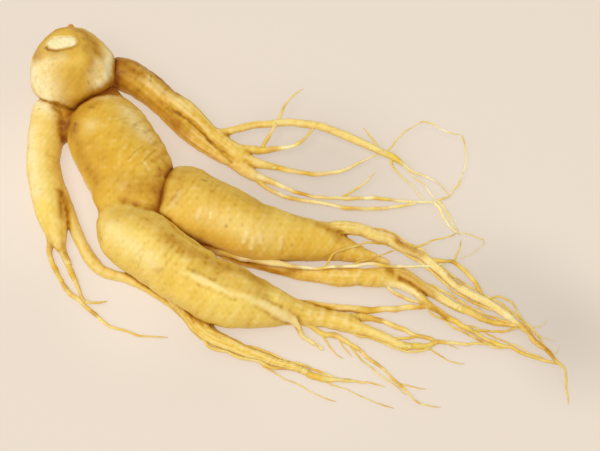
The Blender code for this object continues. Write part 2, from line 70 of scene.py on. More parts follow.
# Thick forms
TORSO: Route = (
    (-84, 58, 12, 8), (-78.5, 51, 10.8, 9.8), (-75.6, 45.5, 10.6, 10.8), (-74.4, 41.5, 11.6, 12.2),
    (-73.4, 37, 13.3, 14.4), (-72.3, 31.5, 13.8, 16), (-68.3, 24.5, 13.8, 16.6), (-64, 17.5, 13.8, 16.8),
    (-61.2, 11.5, 13.4, 16), (-59.6, 5.5, 12.8, 14.7), (-58.9, -1, 12.1, 12.8),
    (-58.2, -6.5, 11.2, 10), (-57.5, -10, 10, 7),
)
HIP: Route = ((-71, 14, 12, 8.3), (-68.4, 8, 12, 8.7), (-65.8, 2, 12.2, 8.6), (-64.6, -4, 12.2, 8.9))
FLANK: Route = (
    (-71.4, 47, 12, 5.4), (-67.2, 41, 13, 7), (-62.8, 34, 13.8, 8.2), (-59, 26, 14, 8.7),
    (-55.8, 18.5, 14.2, 8.9), (-53.9, 9.5, 14.2, 8.9), (-55, 1.5, 13.6, 8.4), (-57, -4, 12.8, 7.6),
)
RIGHT_LEG: Route = (
    (-44.4, 7, 12, 6), (-42.2, 6, 12, 9.4), (-38.6, 4.4, 12, 12.1), (-34.6, 1.6, 12.1, 12.5),
    (-30.5, -1.5, 12.3, 12.6), (-21.5, -6.5, 12.2, 12.5), (-12.5, -10.5, 11.5, 11.5), (-3, -11.5, 10, 10),
    (7, -12.5, 8.6, 8.4), (13.5, -13, 7.6, 7.4), (20.5, -14.5, 6, 5.3), (27.5, -16.5, 4.5, 3.5),
    (33.5, -17.5, 3.5, 2), (40.5, -19.5, 2.5, 0.8),
)
LEG_CORNER: Route = (
    (-42.2, 9.8, 12.4, 7.2), (-44.2, 4.5, 12.6, 8.3), (-46.8, -0.5, 12.6, 8.1), (-46.9, -3.2, 12.3, 7.8),
    (-42.6, -3.8, 12, 8.7), (-37, -4.2, 11.6, 8.4),
)
# A dark web that fills the fork between the legs: a painted shadow where the floor would show between them
FORK_SHADE_WEB: Route = (
    (-43, -7.5, 8, 3.6), (-39.8, -9.9, 8, 3.2), (-36.6, -12.1, 7.6, 2.8), (-32.9, -14.2, 7, 2.2),
    (-28, -16.4, 6.4, 1.7), (-22, -18.9, 5.8, 1.6), (-16.5, -21, 5.4, 1.5), (-11, -22.2, 5.4, 1.3),
)
FRONT_LEG: Route = (
    (-66, -5, 11, 7.2), (-64.4, -8.6, 12.6, 10.2), (-60.6, -13.4, 13, 12.4),
    (-50, -20.5, 12.9, 12.8), (-42, -27, 12.6, 12.3), (-33, -34, 12.3, 12.2), (-22, -38.5, 11.8, 12),
    (-15.5, -40.5, 10.5, 10.5), (-7.5, -41.5, 8.5, 8), (0, -42, 6, 5.7), (6, -42.7, 4.8, 4.3),
    (12, -43.8, 4.1, 3.2),
)
LEFT_ARM: Route = (
    (-82, 40, 9, 6), (-88, 42, 8.4, 6.6), (-94, 47, 9.8, 7.4), (-97, 46.4, 10.2, 7.7),
    (-97.8, 38, 10, 7.6), (-98.6, 31.5, 8.6, 7.2), (-98.5, 23.5, 7.1, 6.8), (-96.5, 11.5, 6.4, 6.6),
    (-94.5, 3.5, 6, 6.2), (-92.5, -3, 5, 5.2), (-91, -9, 4, 3.4), (-90.5, -12, 3.4, 1.8),
)
LEFT_SHOULDER: Route = ((-91, 41, 9.4, 5.6), (-86, 38.6, 10.2, 6), (-80, 36, 12, 6))
RIGHT_ARM: Route = (
    (-82, 61, 13, 6.6), (-72, 64.4, 12.6, 6.8), (-66.4, 63.4, 12.4, 6.8), (-57, 57.5, 10.5, 6.4),
    (-50.5, 52.3, 8.2, 5.6), (-44.5, 46.2, 6.2, 3.6), (-38, 40, 5, 2.4), (-33.5, 36, 4.4, 1.6),
)
RIGHT_ARM_UPPER_STRAND: Route = (
    (-54, 55.4, 10.2, 3.6), (-49, 52.8, 10, 4.4), (-43.2, 48.9, 9.2, 4.4), (-36.5, 43.6, 7.9, 3.7),
    (-29.5, 36.8, 6.8, 3.3), (-22.5, 31, 6.2, 3.2), (-17.5, 27.5, 5.4, 2.4), (-12, 25.2, 4.9, 1.2),
)
RIGHT_ARM_LOWER_STRAND: Route = (
    (-53, 52.4, 8.2, 3), (-48.6, 47.2, 7.6, 3.8), (-43.4, 42.2, 7, 4), (-37, 36, 6.3, 3.6),
    (-30, 30.6, 5.3, 2.9), (-23, 26, 4.8, 2.3), (-17, 21.5, 4.2, 1.9), (-11.5, 18, 3.7, 1),
)
MIDDLE_ROOT: Route = (
    (-24, -12, 8, 2), (-12.5, -21, 5.8, 1.9), (-4, -23.5, 5, 2.1), (5, -25, 4.6, 2.7),
    (13, -26, 4.4, 3.1), (21.5, -27, 4.1, 3.5), (29, -26.5, 4, 3.5), (36, -26.5, 3.8, 3.1),
    (41, -26.5, 3.5, 2.2),
)
RIDGE: Route = (
    (-43.5, -30.6, 21.6, 0.8), (-40, -33.6, 22.8, 0.9), (-36.5, -35.8, 23.4, 1), (-32.5, -38, 23.8, 1),
    (-25, -41.4, 23.2, 1.05), (-17.5, -43.7, 21.2, 1.15), (-9.5, -45, 17.2, 1.3),
    (-3.5, -46, 12.9, 1.7), (1, -47, 9.3, 1.7), (4, -49, 6.8, 1.4), (6, -52, 4, 1),
    (10.5, -54.5, 2.4, 0.8), (14, -56.5, 1.4, 0.6),
)
# The ridge leaves the skin as a rootlet from here on
RIDGE_ROOTLET = RIDGE[8:]

# Rootlets of the left arm: the inner one, the long outer finger and the short cut finger
LEFT_ARM_ROOTLETS: tuple[Route, ...] = (
    ((-95, 20, 6.5, 2.2), (-91.5, 13.5, 6, 2.3), (-88.5, 6, 4.5, 2.6), (-85, -2.5, 3.4, 2.4),
     (-81, -11.5, 3, 2.4), (-76.5, -19, 2.8, 2.6), (-71.5, -23.5, 2.6, 2.2),
     (-63.5, -26, 2.6, 2), (-57.5, -28.5, 2.6, 2.1), (-51.5, -32, 2.5, 2.3),
     (-45.5, -36, 2.4, 2.3), (-39.5, -42, 2.2, 1.8), (-34.5, -47.5, 2.2, 1.9),
     (-30, -51.5, 2.4, 1.6)),
    ((-92, -6, 4, 2.2), (-93.5, -11, 2.9, 1.7), (-93.7, -15, 2.2, 1.4), (-92, -19.5, 1.8, 1.3),
     (-88, -27, 1.6, 1.2), (-84.5, -32.5, 1.5, 1.2), (-80.5, -35.5, 1.5, 1.1),
     (-73, -42.5, 1.3, 1), (-67.5, -46.5, 1.2, 0.9), (-61.5, -48.5, 1.1, 0.8),
     (-55.5, -50.5, 1, 0.7), (-45.5, -51, 0.9, 0.5)),
    ((-91, -6, 4, 2.4), (-89.5, -11, 3.4, 2), (-88, -15.5, 2.6, 1.6), (-85.5, -20.5, 2.2, 1.5),
     (-83, -26.5, 2, 1.2), (-80.5, -32.5, 2.2, 1), (-78.5, -36, 2.6, 0.9),
     (-76, -37, 2.8, 0.8), (-69.5, -36.5, 2.6, 0.7)),
)

# Rootlets of the right arm: the long upper one, forks below it, and the lower pair that loops
RIGHT_ARM_ROOTLETS: tuple[Route, ...] = (
    ((-31, 36, 7, 2), (-26, 38.5, 7.6, 1.8), (-21, 40, 7.8, 1.6), (-14, 42, 7.8, 1.6),
     (-7.5, 42.5, 7.8, 1.6), (0, 43.5, 7.6, 1.6), (6, 43, 7.4, 1.6), (13, 42, 7, 1.7),
     (18.5, 40, 6.6, 1.7), (25.5, 37, 6, 1.7), (32, 34, 5.4, 1.6), (39, 30.5, 4.8, 1.6),
     (43.5, 28, 4.4, 1.4), (47.5, 25, 4, 1.1), (50.5, 22.5, 3.6, 0.8), (55, 20.5, 3.3, 0.7),
     (58.5, 18.5, 3, 0.6), (62, 16, 2.8, 0.6), (65, 11.5, 2.8, 0.6)),
    ((-23, 31, 6.3, 2.2), (-15.5, 31, 6.4, 1.8), (-9, 30.5, 6.4, 1.5), (-4.5, 31.5, 6.4, 1.3),
     (0, 32, 6.6, 1.2), (4, 33.5, 6.8, 1.1), (7.5, 36.5, 7, 0.9), (11, 41.5, 7.1, 0.8)),
    ((-10.5, 30.8, 6.4, 1.2), (-9, 34.5, 7, 1.1), (-7.5, 37.5, 7.6, 1.1), (-5.5, 41, 8, 1.2),
     (-4, 44.5, 8.2, 1.1), (-2, 49.5, 8.4, 0.9), (0.5, 54.5, 8.2, 0.7), (3.5, 58, 7.8, 0.6),
     (6.5, 60.5, 7.4, 0.5)),
    ((-21.5, 29, 5.8, 2.6), (-16.5, 26.2, 5.2, 2), (-11, 25, 4.8, 1.7), (-4.5, 23.5, 4.5, 1.5),
     (5, 21.5, 4, 1.2), (13, 21, 3.6, 1.1), (22, 22.5, 3.6, 1), (28, 25.5, 4, 0.9),
     (33, 28, 4.4, 0.7), (38.5, 30.5, 4.8, 0.6)),
    ((-20, 25, 5, 2.2), (-13.5, 20, 4.4, 1.8), (-7.5, 17.5, 4, 1.4), (-3, 15.5, 3.8, 1.2),
     (2, 13, 3.6, 1.1), (8, 11, 3.5, 1), (14, 10, 3.5, 1), (23.5, 9.5, 3.4, 1),
     (31, 10, 3.2, 1), (39, 9.5, 3, 1), (48, 8.5, 2.8, 0.9), (57, 8.5, 2.6, 0.8),
     (61.5, 9.5, 2.6, 0.7), (65, 11, 2.8, 0.7), (67, 14, 3, 0.7), (69, 16.5, 3.4, 0.7),
     (71.5, 23, 4, 0.6), (72.5, 28, 4.5, 0.6), (72.5, 33.5, 5, 0.6), (71.5, 39, 5.4, 0.5)),
    ((-18.5, 23.5, 4.4, 1.8), (-14, 20.5, 3.6, 1.6), (-10, 16, 3.1, 1.3), (-4.5, 12.5, 2.8, 1.2),
     (2, 10, 2.5, 1.1), (8, 9, 2.3, 1), (17, 7.5, 2.2, 1), (23, 6, 2.2, 1.1),
     (29.5, 5.5, 2.2, 1.1), (36, 5.5, 2.2, 1), (42, 6, 2.3, 0.9), (48, 7.2, 2.5, 0.8),
     (54, 8.3, 2.6, 0.6)),
    ((20.5, 9.6, 3.5, 0.8), (26, 12.5, 4, 0.8), (30.5, 15.5, 4.6, 0.7), (33.5, 18.5, 5, 0.6),
     (35.5, 21, 5.2, 0.5)),
    ((40, 30, 4.9, 0.7), (43.5, 34.5, 5.8, 0.6), (47, 38.5, 6.4, 0.6), (51.5, 42, 6.8, 0.6),
     (55, 44.3, 6.8, 0.6), (58, 44.2, 6.5, 0.6), (62, 42, 6, 0.6), (66, 39.8, 5.7, 0.6),
     (71, 38.7, 5.4, 0.6)),
    ((42, 28.5, 4.5, 1), (43, 24, 4, 0.7), (46.5, 19.5, 3.4, 0.6), (50, 16, 3, 0.6),
     (52.5, 12.5, 2.7, 0.6), (55.5, 8.8, 2.6, 0.6)),
    ((45.5, 26.5, 4.2, 0.8), (49, 22.5, 3.6, 0.6), (51.5, 19.5, 3.2, 0.6), (55, 16.5, 2.9, 0.6),
     (57.5, 12.5, 2.7, 0.6), (60, 9.2, 2.6, 0.6)),
    ((58, 9, 2.6, 1), (60.5, 6.5, 2.2, 1), (62, 3, 1.8, 0.9), (64, -1.5, 1.8, 0.8),
     (66, -4.5, 2.8, 0.7), (67.5, -6.5, 3.8, 0.6)),
)

# Roots from the end of the right leg: the upper one runs on to the far tip of the bundle
RIGHT_LEG_ROOTLETS: tuple[Route, ...] = (
    ((7, -11.5, 10.5, 2.4), (12, -9.5, 11.3, 2.4), (17, -8.8, 11.2, 2.6), (22.5, -8, 10.5, 2.7),
     (29, -8.5, 9.5, 2.5), (35, -10.5, 8.2, 2.5), (40, -11.5, 7.2, 2.4), (44, -14, 6.3, 2),
     (48.5, -16, 5.6, 1.8), (53.5, -18.5, 5, 1.7), (59, -23.5, 4.4, 1.8), (65, -29.5, 3.8, 1.7),
     (72, -34.5, 3.4, 1.7), (78, -37.5, 3, 1.7), (83, -41, 2.7, 1.7), (87, -44.5, 2.4, 1.5),
     (91.5, -48.5, 2.2, 1.3), (95, -53, 2, 1.2), (98.5, -57, 1.8, 1.1), (102, -61, 1.6, 0.9),
     (104.6, -64, 1.4, 0.8), (105.3, -68.5, 1.2, 0.7), (105.4, -74, 1, 0.6), (105.2, -79, 0.9, 0.5)),
    ((54, -19, 5, 1.4), (57.5, -19.5, 5, 1.2), (61.5, -20, 5, 1), (65.5, -21, 4.8, 1),
     (69.5, -24, 4.4, 1.2), (73, -29, 4, 1.2), (76, -34.5, 3.5, 1)),
    ((78, -36, 3.2, 0.8), (82, -34.5, 3.2, 0.7), (86, -36.5, 2.9, 0.7), (88.5, -40.5, 2.6, 0.7),
     (91, -46, 2.4, 0.7)),
    ((44, -14, 6.4, 1), (50.5, -14, 6, 0.8), (54.5, -12.5, 5.4, 0.7), (58, -10.5, 5, 0.6),
     (63.5, -8.5, 4.4, 0.6), (68, -6.4, 3.9, 0.6)),
    ((61, -20.3, 5, 0.8), (65, -20, 5.2, 0.7), (66.3, -17.5, 5.4, 0.7), (68, -14, 5.2, 0.6),
     (68.5, -10, 4.8, 0.5)),
    ((15, -24, 9, 0.8), (18, -19.8, 10, 0.8), (21.5, -18, 10.6, 0.9), (26, -15.8, 9.6, 0.8),
     (29, -14.5, 9, 0.7), (32.5, -13.5, 8.4, 0.7), (37.5, -13.5, 7.4, 0.7), (43, -14.6, 6.5, 0.7)),
    ((25, -24, 8.6, 0.7), (30.5, -20.5, 7.2, 0.6), (35.5, -18.5, 6.8, 0.6), (39.5, -16.8, 6.4, 0.6),
     (45, -15, 6.2, 0.6)),
)

# The pale rootlet in the fork between the legs, and the roots that the middle root splits into
FORK_ROOTLET: Route = (
    (-38, -9, 8, 1), (-34.5, -14.5, 8, 1.2), (-29, -17, 8.7, 1.35), (-23.5, -18.7, 9, 1.45),
    (-18.5, -20.3, 9, 1.5), (-10, -21.8, 8.7, 1.5), (-4, -23, 8.5, 1.35), (2, -24, 8.3, 1.1),
    (11, -25, 8.3, 0.9), (17.5, -24.5, 8.6, 0.9), (26, -24, 8.7, 0.9), (31.5, -23, 8.4, 0.9),
    (41.5, -23.5, 7.2, 0.9), (53.5, -22.5, 5.4, 0.8), (62, -21, 4.9, 0.7),
)
MIDDLE_ROOTLETS: tuple[Route, ...] = (
    ((33, -25.5, 4.2, 2.3), (41.5, -24.5, 4.2, 2.3), (46.5, -26, 4, 2.3), (51, -29, 3.6, 2.1),
     (56.5, -33, 3.2, 1.9), (63.5, -37.5, 2.7, 1.7), (69, -40.5, 2.4, 1.5), (75, -43.5, 2.1, 1.3),
     (81, -45.5, 1.9, 1.2), (89.5, -47, 2, 0.9), (93.5, -50, 2, 0.7)),
    ((31, -27.5, 3.6, 2.3), (37.5, -27.8, 3.4, 2.3), (43.5, -29, 3, 1.9), (49, -32, 2.6, 1.7),
     (52.5, -35, 2.3, 1.6), (56.5, -39, 2, 1.4), (61.5, -42.5, 1.8, 1.3), (65.5, -45.5, 1.7, 1.3),
     (70.5, -48.5, 1.6, 1.3), (75, -51, 1.5, 1.1), (80.5, -54, 1.4, 1.1), (85, -55.5, 1.3, 1),
     (89, -57.5, 1.2, 0.9), (94, -59.5, 1.1, 0.8), (98.5, -61, 1.1, 0.8), (103, -62.5, 1.3, 0.7)),
    ((37, -28, 3.2, 1), (40.5, -32, 2.6, 0.9), (45.5, -34.5, 2.3, 1), (50, -36.5, 2.1, 0.9),
     (55, -38, 2, 0.8)),
    ((69.5, -48, 1.8, 0.8), (76, -49, 2, 0.8), (83.5, -48.7, 2.1, 0.8), (89.5, -47.2, 2, 0.7)),
)

# Roots from the foot of the front leg
FRONT_LEG_ROOTLETS: tuple[Route, ...] = (
    ((-3, -39.5, 6, 2.2), (3, -38.5, 4.6, 1.7), (7.5, -38, 4, 1.5), (15, -39, 3.2, 1.5),
     (24.5, -39.5, 2.6, 1.5), (32, -40, 2.4, 1.5), (41.5, -39.5, 2.2, 1.3), (48.5, -38.5, 2.1, 1.2),
     (57, -38.8, 2, 1)),
    ((-3, -42, 6, 4), (3.5, -42.5, 5, 3.8), (12, -44, 4, 3.6), (20.5, -46, 3.6, 3.3),
     (27, -48, 3.1, 2.7), (32, -49.5, 2.8, 2.2), (38, -52, 2.4, 1.9), (42.5, -54.5, 2.1, 1.7),
     (47.5, -55.5, 1.9, 1.5), (53, -55, 1.8, 1.2), (57.5, -53.5, 1.8, 1.1), (63, -53.5, 1.6, 1),
     (68.5, -54, 1.5, 0.9), (74.5, -54, 1.4, 0.8), (81, -54.5, 1.4, 0.8)),
    ((18, -44.5, 3.6, 2.2), (22.5, -44, 3.4, 1.9), (27.5, -43.5, 3, 1.7), (32.5, -44, 2.7, 1.4),
     (38.5, -45.5, 2.5, 1.3), (44, -48, 2.3, 1.2), (50.5, -51, 2.1, 1.1), (58, -53.3, 1.9, 0.9)),
    ((37, -52, 2.6, 0.9), (42, -52.3, 2.5, 0.9), (46, -52, 2.4, 0.9), (51, -51.2, 2.2, 0.8)),
    ((49.5, -55.2, 1.9, 0.9), (54, -56, 1.4, 0.7), (57.5, -58, 1, 0.6), (61, -60.5, 0.9, 0.5),
     (64, -62, 0.8, 0.5), (67.5, -62, 0.8, 0.5)),
    ((1.5, -43.5, 5, 1.6), (4.5, -46, 3.8, 1.3), (9, -47.5, 3, 1.2), (14, -50, 2.4, 1.2),
     (19, -51, 2.2, 1.3), (23.5, -54, 1.9, 1.1), (28, -57, 1.6, 1.1), (31.5, -60.5, 1.4, 1),
     (36.5, -64.5, 1.3, 0.9), (41, -69, 1.2, 0.8), (44, -72.5, 1.1, 0.8), (46.5, -75.5, 1, 0.7),
     (50, -78.5, 0.9, 0.6), (57.5, -80, 0.8, 0.5)),
    ((24.5, -55.3, 1.7, 0.8), (28.5, -60.5, 1.3, 0.6), (34, -66, 1.1, 0.6), (37.5, -68.5, 1, 0.6),
     (41, -71.5, 0.9, 0.5), (45, -75, 0.9, 0.5)),
    ((41.5, -70, 1.1, 0.6), (46, -71.3, 0.9, 0.5), (52.5, -72.5, 0.8, 0.5)),
    ((13.5, -50, 2.2, 0.8), (17.5, -57, 1.2, 0.6), (21.5, -60, 0.9, 0.5)),
)

# The bundle that leaves the front leg's underside, with its side strands
LOWER_BUNDLE: tuple[Route, ...] = (
    ((-42, -38, 7, 3.3), (-37, -42.5, 4.4, 3.5), (-33, -48, 3.6, 3.4), (-28, -52, 3.3, 3.2),
     (-21.5, -55, 2.8, 2.7), (-16, -57.5, 2.4, 2.3), (-10, -59.5, 2.1, 1.9), (-4, -62, 1.9, 1.7),
     (3, -64, 1.8, 1.5), (9, -66.5, 1.6, 1.5), (12.5, -68, 1.5, 1.4), (18, -69, 1.3, 1.1),
     (26.5, -69.5, 1, 0.8), (33.5, -70.5, 0.9, 0.6), (37, -71.5, 0.8, 0.5)),
    ((12, -67.8, 1.5, 1), (18, -71, 1, 0.6), (22, -72.5, 0.9, 0.5), (27.5, -75, 0.8, 0.5),
     (33, -78, 0.8, 0.5), (40, -80.3, 0.8, 0.5)),
    ((-12, -59.5, 2, 1), (-8, -64, 1.2, 0.7), (-2.5, -67, 1, 0.6), (4.5, -71, 0.9, 0.5),
     (12, -75, 0.8, 0.5), (18.5, -77.5, 0.8, 0.5)),
    ((-33, -48.5, 5, 1.4), (-30.5, -50, 5.8, 1.3), (-27.5, -51.7, 5.8, 1.3), (-24, -53.5, 5.1, 1.2),
     (-20, -55.5, 4, 1.2)),
)

# Hairs, thinner than any rootlet of the solids
HAIRS: tuple[Route, ...] = (
    ((67.5, -6.5, 4, 0.3), (71, -7, 3.8, 0.4), (74, -8, 3.4, 0.4), (77.5, -9.5, 2.8, 0.4),
     (76.5, -12, 2.6, 0.3), (73.5, -15, 3, 0.3), (67.5, -18.5, 4, 0.3)),
    ((62, -54.5, 1.2, 0.5), (64, -55, 0.9, 0.4), (65.5, -56, 0.7, 0.3)),
    ((19.5, -51.8, 2, 0.5), (22.5, -56.5, 1.2, 0.5), (25, -59.5, 0.9, 0.3)),
    ((31, 40.5, 7.8, 0.4), (34, 37, 6.8, 0.6), (36.5, 33.5, 5.8, 0.7), (38, 31, 5.2, 0.7)),
    ((60, 9.5, 2.4, 0.8), (63, 6, 1.8, 0.7), (65, 1.5, 1.5, 0.6), (67, -3, 1.4, 0.6),
     (68.5, -6.5, 1.4, 0.4)),
    ((93, -47, 2.4, 0.3), (96, -47, 2.2, 0.3), (98.5, -46, 2, 0.3), (101, -43.5, 1.8, 0.2)),
    ((95, -51, 2.4, 0.4), (98.5, -52, 2, 0.3), (102.5, -53, 1.6, 0.2)),
    ((100, -59.5, 2, 0.3), (102.5, -57.5, 1.8, 0.3), (104, -54.5, 1.6, 0.2)),
    ((92.5, -59.5, 1.2, 0.5), (95.5, -60.5, 0.9, 0.4), (98.5, -61.5, 0.7, 0.3)),
    ((72, -33.5, 3.6, 0.5), (73, -36, 3.2, 0.5), (74, -39, 2.6, 0.5), (74.5, -41.5, 2.4, 0.4)),
)

# The small bud on the crown knob
BUD: Route = (
    (-88.7, 72.6, 26.2, 1.7), (-88.8, 74.8, 27.8, 2.1), (-88.8, 76.2, 28.7, 2.3), (-88.8, 77.2, 29.3, 2.1),
)


class StainAndPaintedLight(Enum):
    """What a mark leaves on the skin, and the attribute that carries it. Brown marks are real stains and
    also painted shade, and pale marks are pale patches and also painted highlights.
    """

    BROWN = "brown"
    DARK = "dark"
    PALE = "pale"


class Mark(NamedTuple):
    """A spot or line on the skin: half width and strength, and how far it stands out or sinks."""

    mark_tint: StainAndPaintedLight
    width: float
    strength: float
    points: tuple[tuple[float, float, float], ...]
    relief: float = 0.0


